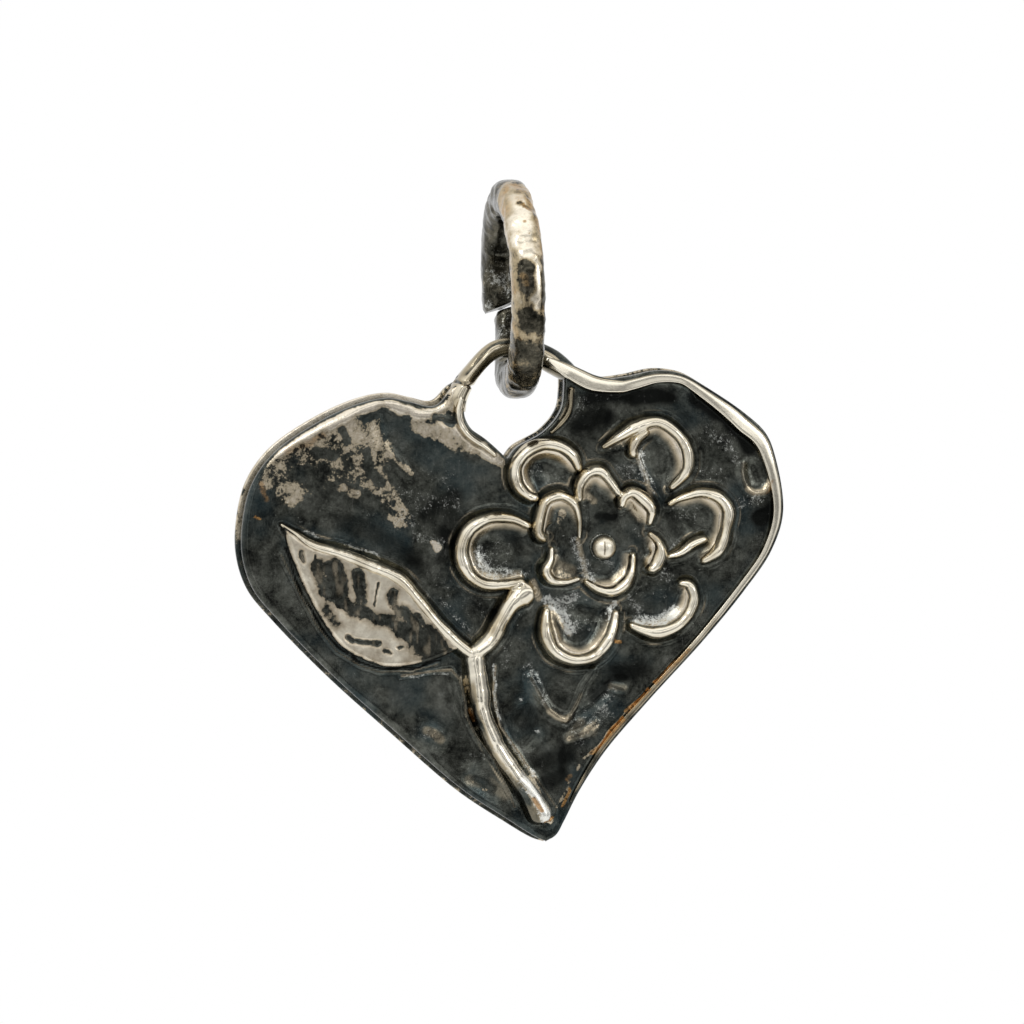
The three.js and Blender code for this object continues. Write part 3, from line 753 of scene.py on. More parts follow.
# Where the skin is darkest, and where painted shadow lies.
INKS_AND_SHADOWS = (
    mark(0.5, 0.5, (188, 651), (232, 645)),
    mark(0.3, 0.5, (144, 702), (172, 678)),
    mark(0.45, 0.4, (2, 736), (29, 754)),
    mark(0.5, 0.45, (51, 833), (89, 820), (117, 790)),
    mark(0.4, 0.5, (57, 875), (89, 857)),
    mark(0.4, 0.6, (130, 105), (192, 94), (277, 100)),
    # Painted shadow just inside the rim of the right lobe.
    mark(0.42, 0.8, (329, 100), (372, 129), (410, 165), (429, 197)),
    mark(0.4, 0.6, (448, 349), (472, 323)),
    mark(0.5, 0.5, (111, 155), (154, 139)),
    mark(0.5, 0.45, (-168, 334), (-117, 299), (-130, 362)),
    mark(0.4, 0.4, (-117, 362), (-130, 419)),
    mark(0.5, 0.35, (-315, 348), (-251, 376), (-193, 419)),
    mark(0.4, 0.4, (-24, 362), (-2, 387)),
    mark(0.16, 0.5, (147, 343), (177, 339)),
    mark(0.05, 0.7, (-420, 402), (-387, 490), (-359, 548), (-322, 601), (-280, 630), (-244, 644),
         (-190, 644), (-135, 630)),
)


# Painted sheen: where the face is painted lighter along its ridges, as painted highlights.
SHEENS = (
    mark(0.12, 0.34, (29, 663), (46, 699), (62, 730)),
    mark(0.17, 0.55, (65, 731), (77, 741), (92, 747), (100, 742)),
    mark(0.12, 0.36, (102, 740), (114, 714), (121, 696)),
    mark(0.13, 0.34, (416, 232), (414, 249), (417, 266), (422, 279)),
    mark(0.17, 0.62, (425, 284), (437, 291), (453, 289), (463, 277), (469, 260)),
    mark(0.1, 0.6, (99, 87), (93, 113), (78, 144)),
    mark(0.07, 0.5, (-206, 657), (-151, 648), (-116, 645), (-102, 663)),
    mark(0.06, 0.42, (-102, 663), (-90, 711), (-90, 736), (-69, 778), (-36, 826), (-15, 875), (2, 923)),
    mark(0.07, 0.6, *STEM_GROOVE),
    mark(0.05, 0.42, *LEAF_FOLD),
    mark(0.26, 0.44, (-160, 766), (-146, 772), (-135, 784)),
    mark(0.34, 0.36, (-80, 869), (-42, 875), (-15, 899)),
    mark(0.3, 0.34, (144, 772), (100, 784), (122, 754)),
    mark(0.2, 0.34, (177, 681), (202, 684)),
    mark(0.12, 0.45, (122, 778), (144, 754)),
    mark(0.14, 0.5, (217, 211), (225, 235), (239, 271), (245, 302)),
    mark(0.16, 0.62, (280, 420), (305, 405), (332, 390)),
    mark(0.2, 0.6, (31, 471), (42, 502)),
    mark(0.16, 0.6, (56, 520), (80, 544), (99, 574)),
    mark(0.16, 0.5, (113, 387), (124, 435), (130, 465)),
    mark(0.3, 0.42, (75, 435), (102, 447)),
    mark(0.18, 0.55, (223, 553), (261, 557), (299, 526)),
    mark(0.2, 0.36, (-73, 423), (-46, 453), (-7, 465)),
    mark(0.1, 0.5, (187, 302), (190, 323)),
    mark(0.3, 0.5, (212, 320), (228, 341)),
    mark(0.2, 0.5, (121, 290), (141, 308)),
    mark(0.1, 0.45, (56, 374), (61, 399)),
    mark(0.12, 0.6, (23, 303), (34, 303)),
    mark(0.1, 0.5, (116, 465), (130, 472)),
    mark(0.1, 0.5, (16, 355), (34, 365)),
)

# Where pale grain lies on the face, with painted glints on it.
FROST_GLINTS = (
    mark(0.5, 0.42, (-206, 292), (-168, 320), (-130, 306)),
    mark(0.3, 0.5, (-206, 334), (-181, 376), (-142, 391)),
    mark(0.35, 0.4, (-130, 270), (-110, 320)),
    mark(0.2, 0.5, (-219, 348), (-193, 341)),
    mark(0.16, 0.6, (-136, 504), (-85, 567)),
    mark(0.08, 0.8, (-407, 365), (-368, 377), (-335, 397), (-296, 404), (-259, 415)),
    mark(0.08, 0.85, (-259, 415), (-227, 434), (-207, 450), (-180, 475), (-148, 519)),
    mark(0.7, 0.34, (-68, 387), (-24, 411), (-46, 435)),
    mark(0.34, 0.72, (-73, 411), (-62, 435), (-40, 450)),
    mark(0.3, 0.6, (-29, 447), (15, 459)),
    mark(0.5, 0.36, (31, 247), (69, 265)),
    mark(0.6, 0.4, (86, 526), (141, 556)),
    mark(0.3, 0.85, (58, 508), (83, 526), (102, 568)),
    mark(0.3, 0.7, (108, 502), (86, 508)),
    mark(0.3, 0.75, (179, 520), (184, 550)),
    mark(0.3, 0.85, (223, 547), (261, 549), (294, 526)),
    mark(0.3, 0.6, (214, 502), (225, 526)),
    mark(0.5, 0.34, (228, 483), (272, 495)),
    mark(0.3, 0.62, (110, 393), (124, 435), (132, 465)),
    mark(0.22, 0.72, (223, 208), (228, 235), (239, 271)),
    mark(0.2, 0.6, (245, 278), (250, 302)),
    mark(0.3, 0.55, (272, 411), (305, 399), (338, 380)),
    mark(0.4, 0.4, (283, 332), (327, 338)),
    mark(0.3, 0.5, (272, 447), (277, 465)),
    mark(0.3, 0.42, (120, 108), (101, 129)),
    mark(0.3, 0.45, (353, 160), (391, 207), (400, 228)),
    mark(0.3, 0.4, (315, 234), (353, 249), (381, 260)),
    mark(0.25, 0.5, (190, 241), (217, 259)),
    mark(0.3, 0.45, (151, 411), (195, 447)),
    mark(0.1, 0.75, *STEM_GROOVE),
    mark(0.08, 0.6, (-206, 663), (-151, 654), (-119, 651)),
    mark(0.35, 0.5, (29, 651), (51, 711)),
    mark(0.3, 0.45, (-20, 608), (-15, 639)),
    mark(0.08, 0.8, (43, 772), (47, 773)),
    mark(0.07, 0.8, (10, 708), (14, 710)),
    mark(0.06, 0.6, (7, 648), (35, 630)),
    mark(0.3, 0.55, (410, 317), (443, 302)),
    mark(0.5, 0.4, (122, 778), (100, 754), (166, 730)),
    mark(0.35, 0.45, (144, 748), (177, 693)),
    mark(0.6, 0.34, (-142, 461), (-78, 532)),
    mark(0.4, 0.3, (-157, 766), (-135, 784)),
    mark(0.5, 0.24, (-91, 833), (-69, 820)),
)


# Where the stem is frosted, with painted glints.
STEM_TIP = (
    mark(0.4, 0.5, (-42, 774), (-5, 843), (18, 875)),
    mark(0.42, 1.15, (29, 857), (51, 911), (62, 942)),
)


# Where the leaf is shaded.
LEAF_SHADES = (
    mark(0.3, 0.16, (-365, 483), (-348, 519), (-328, 552)),
    mark(0.4, 0.2, (-194, 614), (-161, 632)),
)

# Where the front is stained brown.
STAINS = (
    mark(0.05, 0.8, (-471, 339), (-458, 343)),
    mark(0.2, 0.44, (-458, 270), (-449, 306)),
    mark(0.25, 0.45, (-411, 207), (-353, 179)),
    mark(0.08, 0.9, (33, 902), (48, 928)),
    mark(0.08, 0.9, (56, 952), (65, 952), (70, 943)),
    mark(0.13, 0.75, (144, 814), (172, 781), (199, 748)),
    mark(0.08, 0.7, (204, 736), (248, 687)),
    mark(0.1, 0.6, (259, 675), (319, 608)),
    mark(0.08, 0.75, (87, 920), (100, 887)),
    mark(0.09, 0.9, (184, 592), (191, 592)),
    mark(0.14, 0.5, (100, 869), (106, 863)),
    mark(0.14, 0.5, (-83, 724), (-75, 748)),
    mark(0.1, 0.5, (457, 291), (469, 265)),
)


# The graver's cuts in the leaf.
GOUGES = (
    mark(0.12, 1.0, (-391, 408), (-386, 428)),
    mark(0.07, 0.9, (-366, 415), (-365, 428)),
    mark(0.3, 1.0, (-361, 435), (-357, 457), (-342, 479)),
    mark(0.34, 1.0, (-338, 443), (-332, 468), (-322, 490)),
    mark(0.26, 1.0, (-327, 432), (-319, 450), (-316, 486)),
    mark(0.27, 1.0, (-289, 452), (-286, 475), (-282, 504)),
    mark(0.32, 1.0, (-342, 483), (-312, 512), (-286, 528), (-259, 537)),
    mark(0.34, 1.0, (-259, 539), (-227, 548), (-200, 563)),
    mark(0.24, 1.0, (-226, 492), (-222, 512), (-213, 534)),
    mark(0.26, 1.0, (-207, 523), (-194, 544), (-180, 566)),
    mark(0.5, 1.0, (-200, 563), (-174, 581), (-148, 606), (-121, 632)),
    mark(0.3, 0.9, (-164, 566), (-141, 592), (-118, 617)),
    mark(0.13, 1.0, (-307, 577), (-294, 585), (-273, 589), (-250, 590)),
    mark(0.1, 0.8, (-241, 604), (-227, 611)),
    mark(0.08, 0.8, (-215, 600), (-206, 597)),
    mark(0.06, 0.9, (-250, 470), (-254, 486), (-257, 514)),
    mark(0.12, 0.9, (-184, 532), (-169, 552)),
    mark(0.3, 0.3, (-345, 526), (-323, 554)),
)


# How far the back sheet's edge is rubbed, with a painted highlight along its upper edges.
EDGE_WEAR_AND_HIGHLIGHTS = (
    mark(0.6, 0.36, (-500, 400), (-480, 487), (-432, 552), (-334, 663), (-223, 774), (-97, 895),
         (30, 985)),
    mark(0.35, 0.95, (-449, 214), (-398, 179), (-334, 136), (-270, 97), (-219, 97), (-177, 114)),
    mark(0.25, 0.7, (-481, 278), (-468, 249), (-449, 214)),
    mark(0.3, 0.6, (135, 63), (192, 55), (249, 47), (305, 47)),
)


# Where the ring is rubbed, and where highlights and dark reflections are painted on it, in millimetres
# along its axis and round it from the front, upwards.
RING_WEAR_AND_REFLECTIONS = (
    Mark(0.45, 0.46, ((-0.1, 7.3), (0.0, 6.4), (0.2, 5.6))),
    Mark(0.3, 0.62, ((-0.18, 6.6), (-0.43, 5.2))),
    Mark(0.3, 0.55, ((-0.61, 2.6), (-0.70, 0.3), (-0.71, -0.8))),
    Mark(0.34, 1.0, ((-0.05, 4.85), (-0.02, 3.45), (-0.05, 2.5), (-0.06, 1.6))),
    Mark(0.2, 0.95, ((-0.44, 3.65), (-0.49, 2.2))),
    Mark(0.2, 0.42, ((0.42, 4.9), (0.62, 3.8), (0.7, 2.6))),
    Mark(0.26, 0.08, ((-0.21, 1.2), (-0.20, 0.75), (-0.26, 0.1))),
    Mark(0.28, 0.6, ((-0.52, -0.4), (-0.43, -0.8))),
    Mark(0.34, 0.08, ((-0.27, -1.15), (-0.05, -1.5))),
    Mark(0.2, 0.5, ((-0.77, -0.7), (-0.78, -2.3))),
    Mark(0.2, 0.62, ((-0.56, -2.05), (-0.22, -2.25), (0.12, -2.2))),
    Mark(0.5, 0.3, ((-0.42, -2.85), (-0.22, -3.92), (0.03, -5.65))),
    Mark(0.12, 0.95, ((0.36, 1.35), (0.36, 0.4), (0.27, -0.7))),
    Mark(0.2, 0.9, ((0.15, -0.35), (0.23, -0.7))),
    Mark(0.12, 0.1, ((-0.13, 4.5), (0.12, 4.3), (0.38, 4.2))),
    Mark(0.1, 0.1, ((0.76, 2.4), (0.63, 0.7), (0.56, -0.9))),
)


# Where the ring is stained brown, in the same measures.
RING_STAINS = (
    Mark(0.4, 0.5, ((-0.05, 7.3), (0.0, 6.4), (0.2, 5.6))),
    Mark(0.2, 0.75, ((0.03, 6.3), (0.18, 5.9))),
    Mark(0.14, 0.6, ((-0.07, 8.0), (-0.53, 5.7))),
    Mark(0.07, 0.8, ((0.07, 3.3), (0.11, 3.2))),
    Mark(0.06, 0.8, ((0.12, 2.65), (0.13, 2.58))),
    Mark(0.1, 0.7, ((0.05, 4.4), (0.31, 4.15))),
    Mark(0.1, 0.55, ((-0.77, 0.5), (-0.73, -0.15))),
    Mark(0.16, 0.46, ((-0.33, 0.7), (-0.20, 0.25))),
    Mark(0.12, 0.5, ((-0.79, -1.7), (-0.44, -2.4))),
    Mark(0.16, 0.5, ((0.45, 4.8), (0.62, 3.8), (0.68, 2.8))),
)


@dataclass(frozen=True)
class Wire:
    """A wire laid on the face: its middle line, its size where its share is 1, and its curl's slope."""

    name: str
    line: Array
    width: float
    height: float
    cup: float = 0.0
    fullness: float = 1.12
    uneven: float = 1.0
    lipped: bool = True

    def nearest(self, points: Array, margin: float) -> tuple[Array, Array, Array]:
        """Returns the numbers of the flat places near the wire, their distances and its nearest rows."""
        near = in_box(points, self.line[:, :2], margin)
        return near, *nearest_rows(points[near], self.line)

    def dome(self, points: Array) -> Array:
        """Finds the wire's height.

        Args:
            points: flat places.

        Returns:
            The height at each place, which is 0 outside the wire.
        """
        near, distance, rows = self.nearest(points, self.width * self.line[:, 2].max())
        share = rows[:, 2]
        part = np.clip(distance / np.maximum(share * self.width / 2, 1e-6), 0, 1)
        height = np.zeros(len(points))
        q = self.fullness
        height[near] = self.height * np.minimum(1, share) * (1 - part ** (2 / q)) ** (q / 2)
        return height

    def cupped(self, points: Array) -> Array:
        """Finds how far up the slope inside the wire's curl flat places lie.

        Args:
            points: flat places.

        Returns:
            1 beside the wire, 0 past the slope's foot.
        """
        up = np.zeros(len(points))
        if self.cup:
            near, distance, rows = self.nearest(points, self.cup + self.width)
            centre = self.line[:, :2].mean(axis=0)
            from_centre = np.linalg.norm(points[near] - centre, axis=1)
            within = from_centre - np.linalg.norm(rows[:, :2] - centre, axis=1)
            slope = np.clip(1 - (distance - rows[:, 2] * self.width / 2) / self.cup, 0, 1)
            up[near] = slope * np.minimum(1, rows[:, 2]) * smooth_step(0.1, -0.1, within)
        return up


@dataclass
class Face:
    """The hand-made face of the heart: its uneven ground, and the wires laid on it."""

    wires: list[Wire]
    wave: float = 0.11
    ripple: float = 0.035
    trench: float = 0.05
    trench_width: float = 0.1
    lip: float = 0.05
    lip_at: float = 0.24
    lip_width: float = 0.065
    cup_rise: float = 0.27

    def roll(self, points: Array) -> Array:
        """Returns the slow roll of the ground, which every wire follows."""
        return self.wave * Grain(11).at(points, 2.9)

    def ground(self, points: Array) -> Array:
        """Returns the ground with its dents and wrinkles."""
        return self.roll(points) + raised(points, SWELLS)

    def ripples(self, points: Array) -> Array:
        """Returns the small unevenness of the sheet, from about -1 to 1."""
        return 0.8 * Grain(12).at(points, 1.1) + 0.25 * Grain(13).at(points, 0.45)

    def height(self, points: Array) -> Array:
        """Finds the height of the sheet, sunk outside each wire and sloping up to it inside its curl.

        Args:
            points: flat places.

        Returns:
            The height at each place.
        """
        cups = self.cups(points)
        outside = smooth_step(0.12, 0.0, cups)
        height = self.ground(points) + self.ripple * self.ripples(points) + self.cup_rise * cups**1.7
        height -= self.trench * outside * bell(np.maximum(self.from_wires(points), 0), self.trench_width)
        broken = 0.6 + 0.7 * Grain(14).at(points, 0.9)
        return height + self.lip * outside * broken * self.on_lip(points)

    def cups(self, points: Array) -> Array:
        """Returns how far up the slope inside a wire's curl flat places lie, from 0 to 1."""
        return np.max([wire.cupped(points) for wire in self.wires], axis=0)

    def on_lip(self, points: Array) -> Array:
        """Returns how near flat places are to the low lip pushed up outside a wire, from 0 to 1."""
        return bell(self.from_wires(points, True) - self.lip_at, self.lip_width)

    def from_wires(self, points: Array, lipped: bool = False) -> Array:
        """Finds how far flat places are from the side of the nearest wire.

        Args:
            points: flat places.
            lipped: whether only the wires with a lip count.

        Returns:
            The distances, up to 9.
        """
        edge = np.full(len(points), 9.0)
        for wire in (w for w in self.wires if w.lipped or not lipped):
            near, distance, rows = wire.nearest(points, 1.5)
            edge[near] = np.minimum(edge[near], distance - rows[:, 2] * wire.width / 2)
        return edge

    def others(self, points: Array, wire: Wire) -> Array:
        """Returns the height of the tallest other wire at flat places."""
        return np.max([other.dome(points) for other in self.wires if other is not wire], axis=0)


def bands(starts: Sequence[int], count: int) -> list[tuple[int, ...]]:
    """Returns the faces between closed loops of points, by the loops' first points and their count."""
    steps = [(i, (i + 1) % count) for i in range(count)]
    return [(a + i, b + i, b + j, a + j) for a, b in zip(starts, starts[1:]) for i, j in steps]


def mesh_points(mesh: Mesh, what: str = "co") -> Array:
    """Reads a vector at each of a mesh's points.

    Args:
        mesh: the mesh.
        what: Blender's name for it: co for the place, or normal.

    Returns:
        The vectors, one row each.
    """
    flat = np.empty(len(mesh.vertices) * 3)
    mesh.vertices.foreach_get(what, flat)
    return flat.reshape(-1, 3)


def move_points(mesh: Mesh, points: Array) -> None:
    """Gives a mesh's points new places."""
    mesh.vertices.foreach_set("co", np.ascontiguousarray(points, dtype=np.float32).ravel())
    mesh.update()


def keep(mesh: Mesh, skin: Skin, values: Array | float) -> None:
    """Stores one measure of the skin at a mesh's points."""
    spread = np.array(np.broadcast_to(values, len(mesh.vertices)), dtype=np.float32)
    mesh.attributes.new(skin.value, "FLOAT", "POINT").data.foreach_set("value", spread)


def kept_values(mesh: Mesh, name: str) -> Array:
    """Reads a number that Geometry Nodes stored at a mesh's points.

    Args:
        mesh: the mesh.
        name: the number's name.

    Returns:
        The numbers.
    """
    values = np.empty(len(mesh.vertices), dtype=np.float32)
    mesh.attributes[name].data.foreach_get("value", values)
    return values.astype(float)


def closed(mesh: Mesh) -> Mesh:
    """Fills a mesh's open loops, turns its faces outwards and shades it smooth.

    Args:
        mesh: the mesh, which is changed.

    Returns:
        The same mesh.
    """
    shape = bmesh.new()
    shape.from_mesh(mesh)
    open_edges = [edge for edge in shape.edges if edge.is_boundary]
    if open_edges:
        bmesh.ops.holes_fill(shape, edges=open_edges, sides=0)
    bmesh.ops.recalc_face_normals(shape, faces=shape.faces)
    shape.to_mesh(mesh)
    shape.free()
    mesh.shade_smooth()
    return mesh


def placed(mesh: Mesh, finish: Finish, body: Body, *nodes: str) -> None:
    """Puts a finished mesh in the scene.

    Args:
        mesh: the piece's mesh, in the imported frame.
        finish: what it is made of.
        body: the body that it rides on.
        nodes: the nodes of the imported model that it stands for.
    """
    mesh.materials.clear()
    mesh.materials.append(finish.metal())
    piece = bpy.data.objects.new(f"look.{nodes[0]}", mesh)
    bpy.context.scene.collection.objects.link(piece)
    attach(piece, body.value)
    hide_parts(*nodes)
    LOG.info("%s: %d points on %s", piece.name, len(mesh.vertices), body.value)


class BentWire:
    """A Geometry Nodes tree that runs a section along a path."""

    SIZES = ("Width", "Height", "Foot", "Squareness", "Unevenness", "Wavelength", "Seed")

    def __init__(self) -> None:
        """Builds the tree, with named inputs for its sizes."""
        self.tree = bpy.data.node_groups.new("bent_wire", "GeometryNodeTree")
        self.sockets: dict[str, str] = {}
        self._socket("Path", "NodeSocketGeometry")
        for name in self.SIZES:
            self._socket(name, "NodeSocketFloat")
        self._socket("Stations", "NodeSocketInt")
        self._socket("Sides", "NodeSocketInt")
        self._socket("Up", "NodeSocketVector")
        self._socket("Metal", "NodeSocketMaterial")
        self.tree.interface.new_socket(name="Wire", in_out="OUTPUT", socket_type="NodeSocketGeometry")
        self._nodes()

    def _socket(self, name: str, kind: str) -> None:
        """Adds an input and notes its identifier."""
        made = self.tree.interface.new_socket(name=name, in_out="INPUT", socket_type=kind)
        self.sockets[name] = made.identifier

    def _nodes(self) -> None:
        """Adds the nodes: a grid is wrapped round the path, and its seam is merged."""
        web = NodeWeb(self.tree)
        given = web.node("NodeGroupInput").outputs
        counts = {"Vertices X": given["Stations"], "Vertices Y": given["Sides"]}
        grid = web.node("GeometryNodeMeshGrid", counts)
        along, around, _ = web.node("ShaderNodeSeparateXYZ", {0: grid.outputs["UV Map"]}).outputs
        sample = web.node("GeometryNodeSampleCurve", mode="FACTOR", data_type="FLOAT", use_all_curves=True)
        web.put(sample.inputs["Curves"], given["Path"])
        web.put(web.in_use(sample.inputs, "Value"), web.node("GeometryNodeInputRadius").outputs[0])
        web.put(sample.inputs["Factor"], along)
        share = web.in_use(sample.outputs, "Value")
        middle = sample.outputs["Position"]
        side = web.vector("CROSS_PRODUCT", given["Up"], sample.outputs["Tangent"])

        turn = web.times(around, math.tau)
        wide = self._squared(web, web.math("COSINE", turn), given["Squareness"])
        tall = self._squared(web, web.math("SINE", turn), given["Squareness"])
        wave = web.node("ShaderNodeTexNoise", {"W": given["Seed"], "Detail": 2.0}, noise_dimensions="4D")
        web.put(wave.inputs["Vector"], middle)
        web.put(wave.inputs["Scale"], web.math("DIVIDE", 1.0, given["Wavelength"]))
        uneven = web.times(web.math("SUBTRACT", wave.outputs[0], 0.5), given["Unevenness"])
        swell = web.math("ADD", 1.0, uneven)
        reach = web.times(web.times(wide, given["Width"]), web.times(share, swell))
        rise = web.times(web.times(tall, given["Height"]), web.math("MINIMUM", 1.0, share))
        rise = web.math("MAXIMUM", web.times(rise, swell), web.times(given["Foot"], -1.0))
        aside = web.scaled(web.vector("NORMALIZE", side), web.math("DIVIDE", reach, 2.0))
        place = web.vector("ADD", web.vector("ADD", middle, aside), web.scaled(given["Up"], rise))

        wire = grid.outputs["Mesh"]
        for name, value in (("along", along), ("around", around)):
            named = {"Geometry": wire, "Name": name}
            store = web.node("GeometryNodeStoreNamedAttribute", named, data_type="FLOAT", domain="POINT")
            web.put(web.in_use(store.inputs, "Value"), value)
            wire = store.outputs[0]
        for step, inputs in (
            ("SetPosition", {"Position": place}),
            ("MergeByDistance", {"Distance": TOUCHING}),
            ("RealizeInstances", {}),
            ("SetMaterial", {"Material": given["Metal"]}),
        ):
            wire = web.node(f"GeometryNode{step}", {"Geometry": wire, **inputs}).outputs[0]
        web.node("NodeGroupOutput", {0: wire})

    @staticmethod
    def _squared(web: NodeWeb, value: Socket, squareness: Socket) -> Socket:
        """Returns a sine or cosine pulled out towards a square."""
        size = web.math("POWER", web.math("ABSOLUTE", value), squareness)
        return web.times(size, web.math("SIGN", value))

    def bend(self, name: str, path: Array, shares: Array, **sizes: object) -> Mesh:
        """Runs the tree along one path.

        Args:
            name: the mesh's name.
            path: points in metres.
            shares: of the section's size at those points.
            sizes: the tree's inputs, by name.

        Returns:
            A plain mesh that keeps how far along and around each point is.
        """
        curve = bpy.data.curves.new(f"{name}.path", "CURVE")
        curve.dimensions = "3D"
        spline = curve.splines.new("POLY")
        spline.points.add(len(path) - 1)
        spline.points.foreach_set("co", np.column_stack([path, np.ones(len(path))]).ravel())
        spline.points.foreach_set("radius", np.ascontiguousarray(shares))
        guide = bpy.data.objects.new(f"{name}.path", curve)
        bpy.context.scene.collection.objects.link(guide)
        modifier = guide.modifiers.new("bend", "NODES")
        modifier.node_group = self.tree
        for key, value in sizes.items():
            modifier[self.sockets[key]] = value
        depsgraph = bpy.context.evaluated_depsgraph_get()
        evaluated = guide.evaluated_get(depsgraph)
        mesh = bpy.data.meshes.new_from_object(
            evaluated, preserve_all_data_layers=True, depsgraph=depsgraph
        )
        mesh.name = name
        guide.modifiers.clear()
        bpy.data.objects.remove(guide)
        bpy.data.curves.remove(curve)
        return mesh


@dataclass(frozen=True)
class Sheet:
    """A closed sheet: a grid whose top follows a rule, with a fine edge and a flat underside."""

    outline: Array
    underside: float
    top: Callable[[Array, Array], Array]
    spacing: float = 0.078
    insets: tuple[float, ...] = (0.0, 0.018, 0.05)
    chamfer: float = 0.04
    seam_line: float = 0.06

    def inside(self, points: Array) -> Array:
        """Tells which flat places lie inside the outline.

        Args:
            points: flat places.

        Returns:
            Whether each place does.
        """
        within = np.zeros(len(points), dtype=bool)
        x, y = points[:, 0], points[:, 1]
        corners = self.outline[:, :2]
        for (x0, y0), (x1, y1) in zip(corners, np.roll(corners, -1, axis=0)):
            if y0 != y1:
                within ^= ((y0 > y) != (y1 > y)) & (x < (x1 - x0) * (y - y0) / (y1 - y0) + x0)
        return within

    def loop(self, inset: float) -> Array:
        """Returns the outline moved inwards, its shares kept."""
        wrapped = np.vstack([self.outline[-1:], self.outline, self.outline[:1]])
        return moved(self.outline, left_of(wrapped)[1:-1], inset)

    def mesh(self, name: str) -> tuple[Mesh, Array, Array]:
        """Builds the sheet.

        Args:
            name: the mesh's name.

        Returns:
            The mesh, its points' flat places, and their distances from the edge.
        """
        low, high = self.outline[:, :2].min(0), self.outline[:, :2].max(0)
        columns, rows = np.ceil((high - low) / self.spacing).astype(int) + 1
        across, up = np.meshgrid(np.arange(columns), np.arange(rows), indexing="ij")
        grid = low + self.spacing * np.column_stack([across.ravel(), up.ravel()])
        distance, _ = nearest_rows(grid, self.outline)
        use = (self.inside(grid) & (distance > self.insets[-1] + 0.6 * self.spacing)).reshape(columns, rows)
        cells = use[:-1, :-1] & use[1:, :-1] & use[:-1, 1:] & use[1:, 1:]
        number = np.arange(columns * rows).reshape(columns, rows)
        quads = np.column_stack(
            [number[:-1, :-1][cells], number[1:, :-1][cells], number[1:, 1:][cells], number[:-1, 1:][cells]]
        )
        used = np.unique(quads)
        renumber = np.full(columns * rows, -1)
        renumber[used] = np.arange(len(used))
        quads = renumber[quads]
        count = len(self.outline)
        insets = (*self.insets, 0.0, self.chamfer, self.seam_line)
        flat = np.vstack([grid[used], *(self.loop(inset)[:, :2] for inset in insets)])
        edge = np.concatenate([distance[used], np.repeat((*self.insets, 0.0, 0.0, self.seam_line), count)])
        depth = self.top(flat, edge)
        towards = math.copysign(self.chamfer, depth[0] - self.underside)
        depth[-3 * count : -2 * count] = self.underside + towards
        depth[-2 * count :] = self.underside
        first = len(used)
        starts = [first + count * i for i in (2, 1, 0, 3, 4, 5)]
        faces = [tuple(quad) for quad in quads.tolist()]
        faces += self._band(flat, quads, starts[0], cells, low)
        faces += bands(starts, count)
        faces += self._underside(flat, starts[-1])
        mesh = bpy.data.meshes.new(name)
        mesh.from_pydata(FRAME.in_space(flat, depth).tolist(), [], faces)
        return closed(mesh), flat, edge

    def _underside(self, flat: Array, start: int) -> list[tuple[int, ...]]:
        """Fills the innermost loop of the underside.

        Args:
            flat: the flat places of the sheet's points.
            start: the loop's first point.

        Returns:
            The triangles.
        """
        count = len(self.outline)
        around = [(i, (i + 1) % count) for i in range(count)]
        loop = [Vector(flat[start + i]) for i in range(count)]
        _, _, triangles, origins, _, _ = delaunay_2d_cdt(loop, around, [], 1, TOUCHING)
        return [tuple(start + origins[v][0] for v in t) for t in triangles if all(origins[v] for v in t)]

    def _band(
        self, flat: Array, quads: Array, start: int, cells: Array, low: Array
    ) -> list[tuple[int, ...]]:
        """Joins the grid's ragged border to the innermost loop of the edge.

        Args:
            flat: the flat places of the sheet's points.
            quads: the grid's faces.
            start: the loop's first point.
            cells: which cells of the grid are filled.
            low: the grid's corner.

        Returns:
            The triangles.
        """
        count = len(self.outline)
        sides = np.concatenate([quads[:, [i, (i + 1) % 4]] for i in range(4)])
        keys, counts = np.unique(np.sort(sides, axis=1), axis=0, return_counts=True)
        border = keys[counts == 1]
        ids = np.concatenate([np.unique(border), np.arange(start, start + count)])
        local = {int(v): k for k, v in enumerate(ids)}
        fixed = [(local[int(a)], local[int(b)]) for a, b in border]
        fixed += [(local[start + i], local[start + (i + 1) % count]) for i in range(count)]
        border_points = [Vector(flat[v]) for v in ids]
        corners, _, triangles, origins, _, _ = delaunay_2d_cdt(border_points, fixed, [], 1, TOUCHING)
        kept = []
        for triangle in triangles:
            centre = sum((corners[v] for v in triangle), Vector((0, 0))) / 3
            column, row = (int(math.floor((centre[k] - low[k]) / self.spacing)) for k in (0, 1))
            filled = 0 <= column < cells.shape[0] and 0 <= row < cells.shape[1] and cells[column, row]
            if not filled and all(origins[v] for v in triangle):
                kept.append(tuple(int(ids[origins[v][0]]) for v in triangle))
        return kept


@dataclass(frozen=True)
class ArchFoot:
    """A foot of the arch: where it stands, which way the arch leaves it, and its share of the width."""

    at: Place
    degrees: float
    share: float
    arch_width: float = 0.85

    @property
    def out(self) -> Array:
        """The flat direction in which the arch leaves."""
        angle = math.radians(self.degrees)
        return np.array([math.cos(angle), math.sin(angle)])

    def row(self, outward: float, leftward: float, share: float) -> Array:
        """Returns the row of a place so far along the arch from its foot, and so far left of it."""
        left = np.array([-self.out[1], self.out[0]])
        return np.array([*(FRAME.on_heart(self.at)[0, :2] + outward * self.out + leftward * left), share])


